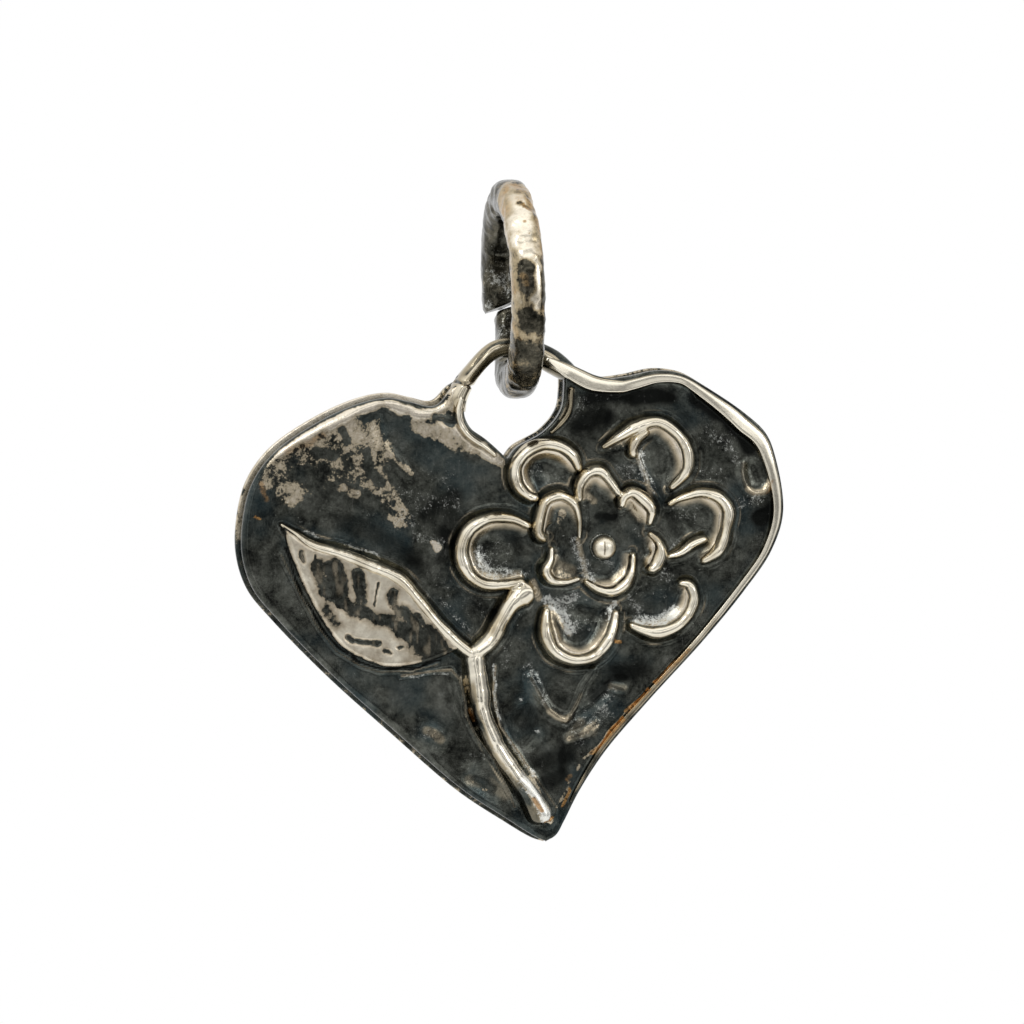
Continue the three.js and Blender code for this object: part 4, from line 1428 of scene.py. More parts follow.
@dataclass
class HeartSheets:
    """The two sheets of the heart, with the outline that they share."""

    setback: float = 0.2
    front_round: float = 0.3
    back_round: float = 0.2
    right_edge: float = 0.4
    cleft_edge: float = 0.3
    corner_share: float = 0.55
    outline_step: float = 0.07
    left_foot: ArchFoot = ArchFoot((-0.0967, 0.0757), 50, 0.95)
    right_foot: ArchFoot = ArchFoot((0.0876, 0.0454), 149, 1.28)
    tip: Place = (0.062, 1, 0.6)
    cleft_left: Places = (
        (-0.018, 0.221), (-0.05, 0.189), (-0.083, 0.162), (-0.0945, 0.135), (-0.091, 0.108),
    )
    side_left: Places = (
        (-0.1223, 0.0817, 0.5), (-0.1515, 0.111), (-0.1916, 0.1039), (-0.2318, 0.0959), (-0.2883, 0.108),
        (-0.3668, 0.1483), (-0.4434, 0.2089), (-0.4836, 0.2735), (-0.5, 0.35), (-0.5, 0.42),
        (-0.48, 0.4874), (-0.4325, 0.552), (-0.334, 0.663), (-0.2226, 0.774), (-0.0967, 0.895),
        (-0.0146, 0.9556), (0.0401, 0.9919, 0.8),
    )
    side_right: Places = (
        (0.0821, 0.9839), (0.0967, 0.9556), (0.1241, 0.895), (0.1715, 0.8143), (0.25, 0.7134),
        (0.3504, 0.5923), (0.4252, 0.4914), (0.4745, 0.4107), (0.496, 0.33), (0.4781, 0.2129),
        (0.4599, 0.1685), (0.4197, 0.1282), (0.3467, 0.0757), (0.3011, 0.0494), (0.2536, 0.0434),
        (0.1989, 0.0555), (0.158, 0.0612), (0.1387, 0.0575),
    )
    cleft_right: Places = (
        (0.082, 0.0837), (0.0766, 0.1261), (0.0474, 0.1673), (-0.0036, 0.2008), (-0.018, 0.221),
    )

    def corner(self, foot: ArchFoot, side: int) -> Array:
        """Returns the corner of a lobe beside a foot of the arch: 1 for its left, -1 for its right."""
        return foot.row(0, side * self.corner_share * foot.arch_width * foot.share / 2, self.cleft_edge)

    @staticmethod
    def edged(places: Iterable[Place], share: float) -> Array:
        """Returns the rows of some places whose edge is rounded alike."""
        return FRAME.on_heart(*((*place, share) for place in places))

    def left_cleft(self) -> Array:
        """Returns the places of the cleft's left side, upwards."""
        return np.vstack([self.edged(self.cleft_left, self.cleft_edge), self.corner(self.left_foot, -1)])

    def left_side(self) -> Array:
        """Returns the places of the left side, from the arch down to the tip."""
        return np.vstack([self.corner(self.left_foot, 1), FRAME.on_heart(*self.side_left, self.tip)])

    def right_side(self) -> Array:
        """Returns the places of the right side, from the tip up to the arch."""
        run = self.edged(self.side_right, self.right_edge)
        return np.vstack([FRAME.on_heart(self.tip), run, self.corner(self.right_foot, -1)])

    def right_cleft(self) -> Array:
        """Returns the places of the cleft's right side, downwards."""
        return np.vstack([self.corner(self.right_foot, 1), self.edged(self.cleft_right, self.cleft_edge)])

    def outline(self) -> Array:
        """Joins the four sides.

        Returns:
            The whole outline, anticlockwise as the face is seen.
        """
        runs = (self.left_cleft(), self.left_side(), self.right_side(), self.right_cleft())
        cleft, left, right, other_cleft = (smoothed(run, self.outline_step) for run in runs)
        return np.vstack([cleft, left[:-1], right, other_cleft[:-1]])

    def beside(self, run: Array, start: float, stop: float, width: float, shares: Sequence[float]) -> Array:
        """Lays a rim wire's line beside one run of the outline.

        Args:
            run: the places of the run.
            start: where the wire starts, as a share of the run's length.
            stop: where it stops.
            width: of the wire.
            shares: of that width, evenly along the wire.

        Returns:
            The wire's line.
        """
        edge = smoothed(run, 0.1)
        part = edge[round(start * (len(edge) - 1)) : round(stop * (len(edge) - 1)) + 1]
        share = np.interp(np.linspace(0, 1, len(part)), np.linspace(0, 1, len(shares)), shares)
        bare = (self.setback + self.front_round) * part[:, 2] + 0.06
        line = moved(part, left_of(part), bare + width * share / 2)
        line[:, 2] = share
        return line

    def build(self, face: Face) -> None:
        """Builds and dresses both sheets.

        Args:
            face: the ground, and what is laid on it.
        """
        outline = self.outline()
        wrapped = np.vstack([outline[-1:], outline, outline[:1]])
        set_back = moved(outline, left_of(wrapped)[1:-1], self.setback * outline[:, 2])
        self.front(face, set_back)
        self.rear(outline)

    def front(self, face: Face, outline: Array) -> None:
        """Builds the front sheet, whose top follows the face.

        Args:
            face: the ground, and what is laid on it.
            outline: the sheet's own, set back.
        """

        def top(flat: Array, edge: Array) -> Array:
            """Returns the depth of the sheet's top, rounded at its edge."""
            sunk = rounded(edge, np.maximum(self.front_round * self._edge_share(flat, outline), 0.06))
            return FRAME.face + sunk - face.height(flat) * smooth_step(0.0, 0.5, edge)

        mesh, flat, edge = Sheet(outline, FRAME.seam, top).mesh("front_sheet")
        _, height = FRAME.on_face(mesh_points(mesh))
        shown = smooth_step(-0.3, -0.2, height)
        ragged = wandering(flat, 0.12, 0.5)
        beside = face.from_wires(flat)
        cups = face.cups(flat)
        ripples = face.ripples(flat)
        outside = smooth_step(0.15, 0.0, cups)
        wear_and_shading = painted(ragged, RUBS, 0.06)
        bound = 1 - smooth_step(0.3, 0.5, wear_and_shading)
        # Painted shade and patina: a dark line along the feet of the wires, outside their curls.
        sunk = outside * np.clip(0.3 + 0.3 * Grain(29).at(flat, 1.3), 0.1, 0.5)
        wear_and_shading -= sunk * (1 - smooth_step(0.02, 0.1, beside)) * (1 - smooth_step(0.5, 0.8, wear_and_shading))
        wear_and_shading -= bound * (painted(ragged, INKS_AND_SHADOWS, 0.0) + 0.25 * smooth_step(-0.15, -0.7, ripples))
        joined = self.near_left_foot(flat)
        off_edge = smooth_step(0.02, 0.14, edge)
        wear_and_shading = np.where(wear_and_shading > 0, wear_and_shading * np.maximum(off_edge, joined), wear_and_shading)
        keep(mesh, Skin.WEAR_AND_SHADING, wear_and_shading * np.maximum(shown, joined))
        # Painted sheen on the slopes inside the wires' curls and on the lips outside the wires.
        curled = 0.95 * cups**1.2 * (0.85 + 0.3 * Grain(28).at(flat, 0.6))
        sheen = np.maximum(painted(flat, SHEENS, 0.0), curled)
        sheen = np.maximum(sheen, outside * face.on_lip(flat) * (0.3 + 0.5 * Grain(26).at(flat, 0.8)))
        keep(mesh, Skin.SHEEN, sheen * shown * off_edge)
        frost_glint = painted(ragged, FROST_GLINTS, 0.14 + 0.1 * Grain(25).at(flat, 1.8))
        # Painted glints on the raised parts of the ripples.
        frost_glint += 0.14 * smooth_step(0.15, 0.8, ripples)
        clear = np.maximum(smooth_step(0.0, 0.16, beside), smooth_step(0.0, 0.3, cups))
        keep(mesh, Skin.FROST_GLINT, frost_glint * shown * clear)
        keep(mesh, Skin.TARNISH, painted(ragged, STAINS, 0.0))
        placed(mesh, SHEET_FINISH, Body.HEART, "front_plate")

    def near_left_foot(self, flat: Array) -> Array:
        """Returns how near places are to the left foot's outer side, where solder fills the seam."""
        away = flat - FRAME.on_heart(self.left_foot.at)[0, :2]
        return smooth_step(1.6, 1.0, np.linalg.norm(away, axis=1)) * smooth_step(0.15, -0.1, away[:, 0])

    @staticmethod
    def _edge_share(flat: Array, outline: Array) -> Array:
        """Returns the edge's share of rounding at the nearest part of the outline."""
        return nearest_rows(flat, outline[::6])[1][:, 2]

    def rear(self, outline: Array) -> None:
        """Builds the back sheet, plain, with its edge a little rubbed and a painted highlight along it.

        Args:
            outline: the heart's.
        """

        def top(flat: Array, edge: Array) -> Array:
            """Returns the depth of the back, rounded at its edge."""
            uneven = 0.02 * (1 + Grain(21).at(flat, 2.3)) * smooth_step(0.0, 0.5, edge)
            return FRAME.back - rounded(edge, self.back_round) - uneven

        mesh, flat, edge = Sheet(outline, FRAME.seam, top, spacing=0.13).mesh("back_sheet")
        scuffed = 0.18 + 0.2 * Grain(22).at(flat, 4.0)
        _, height = FRAME.on_face(mesh_points(mesh))
        # Painted highlight along the upper edges, with rubbed metal.
        worn_and_lit = painted(flat, EDGE_WEAR_AND_HIGHLIGHTS, 0.56 + 0.12 * Grain(27).at(flat, 1.2))
        seam = (edge > 0.06) & (height > FRAME.face - FRAME.seam - 0.02)
        seam &= self.near_left_foot(flat) < 0.5
        keep(mesh, Skin.WEAR_AND_SHADING, np.where(seam, -0.5, np.where(edge < 0.3, worn_and_lit, scuffed)))
        keep(mesh, Skin.FROST_GLINT, 0.2 + 0.2 * Grain(23).at(flat, 3.0))
        keep(mesh, Skin.TARNISH, 0.2 * Grain(24).at(flat, 2.0))
        placed(mesh, SHEET_FINISH, Body.HEART, "back_plate")


# The spray's wires: places on the heart, then shares of the wire's width.
SPRAY: dict[str, Places] = {
    "leaf_rib": (
        (-0.074, 0.618, 0.9), (-0.1, 0.596), (-0.135, 0.56), (-0.175, 0.508), (-0.212, 0.464),
        (-0.265, 0.436), (-0.322, 0.412, 0.9), (-0.372, 0.395, 0.8), (-0.4, 0.373, 0.5),
        (-0.4265, 0.353, 0.2),
    ),
    "flower_stalk": (
        (-0.08, 0.618, 0.9), (-0.044, 0.583), (-0.026, 0.546), (-0.007, 0.512, 1.1), (0.014, 0.494, 1.6),
        (0.032, 0.488, 1.9),
    ),
    "stem": (
        (-0.075, 0.605, 0.9), (-0.066, 0.68, 1), (-0.059, 0.73, 0.9), (-0.046, 0.768, 0.9),
        (-0.026, 0.81, 0.85), (0.003, 0.858, 0.85), (0.026, 0.893, 0.85), (0.0585, 0.955, 1.1),
    ),
}

# The petals and the short wires in them: thousandths of the flower's radius right of the bead and above
# it, then shares of the wire's width.
INNER_PETALS: dict[str, Places] = {
    "inner_petal_upper_left": (
        (-430, 80, 0.6), (-478, 75, 0.9), (-511, 120, 1), (-497, 233, 1), (-452, 355, 1), (-349, 396, 1),
        (-246, 345, 0.9), (-194, 233, 0.6), (-184, 60, 0.3),
    ),
    "inner_petal_top": (
        (-190, 340, 0.7), (-194, 470, 0.9), (-127, 566, 1), (-39, 580, 1.1), (30, 515, 0.9),
        (125, 390, 0.7),
    ),
    "inner_petal_upper_right": (
        (131, 293, 0.6), (150, 385, 0.9), (212, 420, 1.1), (301, 366, 1.3), (360, 293, 1.1),
        (350, 160, 0.5),
    ),
    "inner_petal_right": (
        (345, 116, 0.4), (419, 41, 0.9), (440, -46, 1.2), (405, -136, 1.2), (331, -188, 0.7),
    ),
    "inner_petal_bottom": (
        (227, -32, 0.6), (219, -151, 0.8), (183, -260, 1.1), (80, -335, 1.1), (-24, -328, 0.9),
        (-150, -252, 0.5),
    ),
    "inner_petal_lower_left": (
        (-402, 12, 0.5), (-409, -92, 0.7), (-446, -180, 1), (-400, -250, 0.9), (-290, -269, 0.6),
        (-172, -239, 0.4),
    ),
}
OUTER_PETALS: dict[str, Places] = {
    "petal_left": (
        (-560, 155, 0.6), (-720, 220, 0.8), (-896, 219, 0.9), (-1043, 130, 1.1), (-1095, -32, 1.2),
        (-1043, -195, 1.1), (-927, -278, 1), (-763, -283, 0.9), (-600, -254, 0.8),
    ),
    "petal_upper_left": (
        (-187, 573, 0.6), (-246, 691, 0.9), (-349, 765, 1), (-482, 780, 1), (-615, 720, 1),
        (-689, 602, 1), (-666, 469, 1), (-570, 385, 0.8), (-500, 380, 0.6),
    ),
    "petal_upper_right": (
        (-24, 757, 0.3), (124, 854, 0.8), (242, 920, 1), (405, 958, 0.9), (537, 883, 0.9), (633, 751, 1),
        (641, 602, 1), (507, 440, 0.4),
    ),
    "petal_right": (
        (493, 322, 0.3), (610, 381, 0.6), (759, 418, 0.8), (892, 381, 1), (965, 278, 1.1), (950, 144, 1),
        (892, -18, 1), (759, -121, 0.5),
    ),
    "petal_lower_right": (
        (581, -276, 0.4), (668, -290, 0.8), (707, -386, 1), (670, -505, 1), (552, -616, 1),
        (405, -653, 1), (242, -608, 0.6), (205, -580, 0.4),
    ),
    "petal_lower": (
        (-430, -450, 0.5), (-445, -540, 0.9), (-438, -653, 1.2), (-378, -786, 1.1), (-232, -860, 1),
        (-69, -830, 1), (49, -697, 1), (108, -476, 0.6),
    ),
}
SHORT_WIRES: dict[str, Places] = {
    "petal_spur": (
        (345, 900, 0.7), (242, 824, 0.9), (212, 736, 0.7), (227, 680, 0.4),
    ),
    "petal_tail": (
        (493, -77, 0.3), (596, -46, 0.6), (700, 26, 0.7), (819, 71, 0.6),
    ),
}


@dataclass
class LaidWires:
    """Every wire soldered to the face: the spray, the petals and the rims."""

    sheets: HeartSheets
    stem_size: Place = (1.05, 0.62)
    stalk_size: Place = (0.86, 0.6)
    rib_size: Place = (0.7, 0.6)
    petal_size: Place = (0.68, 0.56)
    inner_size: Place = (0.58, 0.56)
    rim_size: Place = (0.66, 0.24)
    rim_shares: Place = (0.12, 0.4, 0.4, 0.42, 0.45, 0.7, 1.1, 0.5, 0.9)
    rim_tilt: float = 0.092
    cleft_size: Place = (0.32, 0.25)
    inner_cup: float = 0.55
    petal_cup: float = 0.5
    step: float = 0.06
    sides: int = 25
    foot: float = 0.22
    blend: float = 0.1

    def spray(self) -> list[Wire]:
        """Lays the leaf's rib, the flower's stalk and the stem.

        Returns:
            Their wires.
        """
        sizes = (self.rib_size, self.stalk_size, self.stem_size)
        return [
            self._wire(name, FRAME.on_heart(*places), size)
            for (name, places), size in zip(SPRAY.items(), sizes)
        ]

    def petals(self) -> list[Wire]:
        """Lays the petals round the bead, the outer ones and the short wires that curl inside them.

        Returns:
            Their wires.
        """
        groups = (
            (INNER_PETALS, self.inner_size, self.inner_cup),
            (OUTER_PETALS, self.petal_size, self.petal_cup),
            (SHORT_WIRES, self.petal_size, 0.0),
        )
        return [
            self._wire(name, FRAME.on_flower(*places), size, cup)
            for petals, size, cup in groups
            for name, places in petals.items()
        ]

    def rims(self) -> list[Wire]:
        """Lays the rim of the right lobe and the thin rims beside the cleft.

        Returns:
            Their wires.
        """
        sheets = self.sheets
        wide, tall = self.rim_size
        thin, low = self.cleft_size
        along = sheets.beside(sheets.right_side(), 0.07, 0.94, wide, self.rim_shares)
        along[:, :2] -= 0.06 * left_of(along)
        to_arch = FRAME.on_heart(
            (0.136, 0.072, 1.1), (0.11, 0.06, 1.1), (0.088, 0.047, 0.95), (0.066, 0.0335, 0.6),
            (0.05, 0.024, 0.25)
        )
        right = smoothed(np.vstack([along[:-4:3], to_arch]), self.step)
        cleft_left = sheets.beside(sheets.left_cleft(), 0.1, 0.9, thin, [0.7, 1, 1, 0.8])
        cleft_right = sheets.beside(sheets.right_cleft(), 0.1, 0.55, thin, [0.8, 1, 0.5])
        return [
            replace(self._wire("rim_right", right, (wide, tall)), fullness=0.48, uneven=0.15, lipped=False),
            replace(self._wire("cleft_rim_left", cleft_left, (thin, low)), lipped=False),
            replace(self._wire("cleft_rim_right", cleft_right, (thin, low)), lipped=False),
        ]

    def _wire(self, name: str, places: Array, size: Place, cup: float = 0.0) -> Wire:
        """Makes a wire with rounded ends.

        Args:
            name: the wire's node.
            places: rows that its line goes through.
            size: its width and height.
            cup: how far the slope inside its curl reaches.

        Returns:
            The wire.
        """
        line = smoothed(places, self.step)
        length = run_length(line)
        to_end = np.minimum(length, length[-1] - length)
        part = np.clip(1 - to_end / np.maximum(line[:, 2] * size[0] / 2, 1e-6), 0, 1)
        line[:, 2] *= np.sqrt(1 - part**2)
        return Wire(name, line, *size, cup=cup)

    def build(self, face: Face, tree: BentWire) -> None:
        """Builds and dresses every wire of the face."""
        for rank, wire in enumerate(face.wires):
            self.dress(wire, rank, face, tree)

    def dress(self, wire: Wire, rank: int, face: Face, tree: BentWire) -> None:
        """Bends one wire, settles it on the face and flows it into its neighbours.

        Args:
            wire: the wire.
            rank: its place among the face's wires, which seeds its noises.
            face: the ground, and what is laid on it.
            tree: what bends it.
        """
        stations = len(wire.line)
        mesh = tree.bend(
            wire.name, FRAME.in_space(wire.line[:, :2], FRAME.face), wire.line[:, 2],
            Width=wire.width * MM, Height=wire.height * MM, Foot=self.foot * MM,
            Squareness=wire.fullness, Unevenness=0.42 * wire.uneven, Wavelength=0.9 * MM,
            Seed=float(rank), Stations=stations, Sides=self.sides, Up=(0, -1, 0),
            Metal=WIRE_FINISH.metal(),
        )
        points = mesh_points(mesh)
        flat, height = FRAME.on_face(points)
        turn = math.tau * kept_values(mesh, "around")
        along = kept_values(mesh, "along") * (stations - 1) * self.step
        crease = Grain(40 + rank).at(np.column_stack([along, np.zeros_like(along)]), 2.5)
        creased = np.zeros(len(turn))
        soft_metal = wire.width > 0.5 and wire.name != "rim_right"
        for middle, strength in ((1.0 + 0.3 * crease, 1.0), (2.2 - 0.35 * crease, 0.7)):
            creased = np.maximum(creased, strength * bell(turn - middle, 0.13) * soft_metal)
        creased *= np.clip(0.35 + 1.3 * Grain(140 + rank).at(np.column_stack([along, turn]), 1.4), 0, 1)
        height -= 0.045 * creased
        height += 0.04 * wire.uneven * Grain(60 + rank).at(flat, 0.6) * np.clip(height / wire.height, 0, 1)
        near, _, rows = wire.nearest(flat, 2.0)
        share = np.ones(len(flat))
        share[near] = np.maximum(rows[:, 2], 0.15)
        if wire.name == "rim_right":
            height += self.rim_tilt * share * np.cos(turn) * np.clip(height / wire.height, 0, 1)
        relative = np.clip(height / (wire.height * np.minimum(1, share)), 0, 1)
        above = height > 0
        others = face.others(flat, wire)
        soft = np.logaddexp(height / (self.blend / 2), others / (self.blend / 2)) * self.blend / 2
        height = np.where(above & (others > 0.02), np.where(others > height, soft - 0.012, soft), height)
        height += face.ground(flat) if wire.lipped else face.roll(flat)
        points[:, 1] = FRAME.hinge[1] + MM * (FRAME.face - height)
        move_points(mesh, points)
        # Lighter towards the crest: rubbed metal, with painted shading down the flanks. The creases are
        # painted darker as well, as painted dark reflection lines.
        crest = np.maximum(relative, np.clip(others / wire.height, 0, 1)) ** 0.9
        wear_and_shading = 0.27 + 0.68 * crest - 0.28 * creased
        if wire.name == "stem":
            # Painted light: one side of the stem is painted lit and brighter, and the rubbed value is
            # painted shade on its other flank.
            ragged = 0.25 * Grain(141).at(flat, 0.7)
            low = smooth_step(7.0, 4.0, along)
            lit = smooth_step(-0.25, 0.25, np.cos(turn) + ragged + 0.5 * low)
            lit = np.clip(lit + smooth_step(1.9, 0.9, along), 0, 1)
            rubbed = 0.14 + 0.12 * smooth_step(0.0, 0.6, Grain(144).at(flat, 0.7)) * low
            wear_and_shading = (wear_and_shading + 0.38) * lit + rubbed * (1 - lit)
        if wire.name == "rim_right":
            # The rim is darker towards the bottom. Painted shade: one flank is painted dark, and the rest
            # of the rim is painted brighter.
            wear_and_shading *= 0.1 + 0.9 * smooth_step(-19.0, -9.0, flat[:, 1])
            inner = smooth_step(-0.75, -0.4, np.cos(turn) + 0.15 * Grain(142).at(flat, 0.9))
            wear_and_shading = (wear_and_shading + 0.25) * inner + 0.08 * (1 - inner)
        if wire.name == "cleft_rim_right":
            wear_and_shading *= 0.3 + 0.5 * smooth_step(-0.2, 0.5, Grain(143).at(flat, 0.8))
        keep(mesh, Skin.WEAR_AND_SHADING, wear_and_shading - 0.24 * smooth_step(0.0, 0.8, Grain(80 + rank).at(flat, 0.9)))
        keep(mesh, Skin.FROST_GLINT, painted(flat, STEM_TIP, 0.1))
        keep(mesh, Skin.TARNISH, painted(flat, STAINS, 0.1))
        placed(closed(mesh), WIRE_FINISH, Body.HEART, wire.name)


@dataclass
class Leaf:
    """The carved leaf below its rib."""

    rib: Wire
    rib_from: int = 12
    rib_to: int = -3
    height: float = 0.46
    rounding: float = 0.26
    gouge_depth: float = 0.06
    sunk: float = 0.2
    spacing: float = 0.055

    def outline(self) -> Array:
        """Draws the blade's outline, which reaches under the rib.

        Returns:
            Its points.
        """
        upper = self.rib.line[self.rib_from : self.rib_to]
        lower = FRAME.on_heart(
            (-0.4145, 0.3985), (-0.38, 0.487), (-0.352, 0.544), (-0.316, 0.596), (-0.277, 0.623),
            (-0.2427, 0.637), (-0.19, 0.636), (-0.14, 0.622),
        )
        run = smoothed(np.vstack([upper[-1:], lower, upper[:1]]), 0.07)
        whole = np.vstack([upper, run[1:-1]])
        whole[:, 2] = 1
        return whole

    @staticmethod
    def cut(flat: Array) -> Array:
        """Finds how deep the graver went.

        Args:
            flat: flat places.

        Returns:
            The depth at each place, from 0 to 1.
        """
        ragged = wandering(wandering(flat, 0.06, 0.45), 0.03, 0.15)
        deepest = np.zeros(len(flat))
        for stroke in GOUGES:
            near, distance = stroke.distance(ragged, 2 * stroke.reach)
            hollow = stroke.amount * (1 - smooth_step(0.2, 1.9, distance / stroke.reach))
            deepest[near] = np.maximum(deepest[near], hollow)
        return deepest

    @staticmethod
    def uneven(flat: Array) -> Array:
        """Returns the unevenness of the blade's top at flat places."""
        return 0.03 * Grain(31).at(flat, 0.8) + 0.012 * Grain(32).at(flat, 0.3)

    def build(self, face: Face) -> None:
        """Builds and dresses the blade.

        Args:
            face: the ground under it.
        """

        def top(flat: Array, edge: Array) -> Array:
            """Returns the depth of the blade's top, rounded at its edge and cut by the graver."""
            rise = self.height - rounded(edge, self.rounding) - self.gouge_depth * self.cut(flat)
            return FRAME.face - (rise + self.uneven(flat)) - face.ground(flat)

        mesh, flat, edge = Sheet(self.outline(), FRAME.face + self.sunk, top, self.spacing).mesh("leaf")
        carved = self.cut(flat)
        streaks = 0.12 * Grain(34).at(flat, 0.8) + 0.14 * Grain(35).at(flat, 0.3)
        shaded = painted(wandering(flat, 0.1, 0.5), LEAF_SHADES, 0.0)
        wear_and_shading = 0.74 - 0.76 * carved - shaded + streaks
        wear_and_shading -= 0.55 * (1 - smooth_step(0.02, 0.16, edge))
        keep(mesh, Skin.WEAR_AND_SHADING, wear_and_shading)
        streaked = np.clip(0.14 + 0.5 * Grain(36).at(flat * np.array([3.5, 0.9]), 0.5), 0, 0.42)
        keep(mesh, Skin.SHEEN, streaked * smooth_step(0.4, 0.9, carved))
        keep(mesh, Skin.FROST_GLINT, 0.05 + 0.12 * smooth_step(0.3, 0.9, carved))
        keep(mesh, Skin.TARNISH, 0.2 * Grain(33).at(flat, 0.8))
        placed(mesh, LEAF_FINISH, Body.HEART, "leaf_blade")


@dataclass
class Bead:
    """The ball at the flower's centre, in a thin collar of solder."""

    diameter: float = 1.1
    height: float = 0.85
    collar: float = 0.16
    sides: int = 48
    rows: int = 28

    def profile(self) -> Array:
        """Draws the bead's profile.

        Returns:
            How far out and how high it is, from the top down.
        """
        radius = self.diameter / 2
        low = math.acos(max(-1.0, 1 - self.height / radius))
        turn = np.linspace(0, low, self.rows)
        ball = np.column_stack([radius * np.sin(turn), self.height - radius * (1 - np.cos(turn))])
        ball[:, 0] = np.where(turn > math.pi / 2, np.maximum(ball[:, 0], radius * 0.86), ball[:, 0])
        reach = ball[-1, 0]
        solder = ((0.1, 0.05), (0.5, 0.1), (1, 0.04), (1.2, -0.1), (1.2, -0.2))
        return np.vstack([ball, [(reach + self.collar * out, up) for out, up in solder]])

    def build(self, face: Face) -> None:
        """Turns the bead's profile about its own axis and dresses it.

        Args:
            face: the ground under it.
        """
        profile = self.profile()
        centre = FRAME.on_heart(FRAME.flower_at)[:, :2]
        angles = np.linspace(0, math.tau, self.sides, endpoint=False)
        circle = np.column_stack([np.cos(angles), np.sin(angles)])
        flat = np.vstack([centre, *(centre + out * circle for out, _ in profile[1:])])
        height = np.concatenate([[self.height], np.repeat(profile[1:, 1], self.sides)])
        height = height + 0.015 * Grain(51).at(flat, 0.3) + face.ground(centre)[0]
        faces = [(0, 1 + i, 1 + (i + 1) % self.sides) for i in range(self.sides)]
        faces += bands(range(1, len(flat), self.sides), self.sides)
        mesh = bpy.data.meshes.new("bead")
        mesh.from_pydata(FRAME.in_space(flat, FRAME.face - height).tolist(), [], faces)
        mesh = closed(mesh)
        above = height - face.ground(centre)[0]
        aside = flat - centre
        # Painted reflection: a dark line down the ball. Painted shade: its lower right side is darker.
        dark_reflection_line = bell(aside[:, 0] + 0.07, 0.035) * smooth_step(0.36, 0.28, np.abs(aside[:, 1]))
        shaded = smooth_step(0.3, 0.46, aside @ np.array([0.8, -0.6]))
        keep(mesh, Skin.WEAR_AND_SHADING, smooth_step(0.1, 0.7, above) - 0.85 * dark_reflection_line - 0.45 * shaded)
        keep(mesh, Skin.FROST_GLINT, 0.5 * (1 - smooth_step(0.05, 0.2, above)))
        keep(mesh, Skin.TARNISH, 0.0)
        placed(mesh, LEAF_FINISH, Body.HEART, "flower_bead")


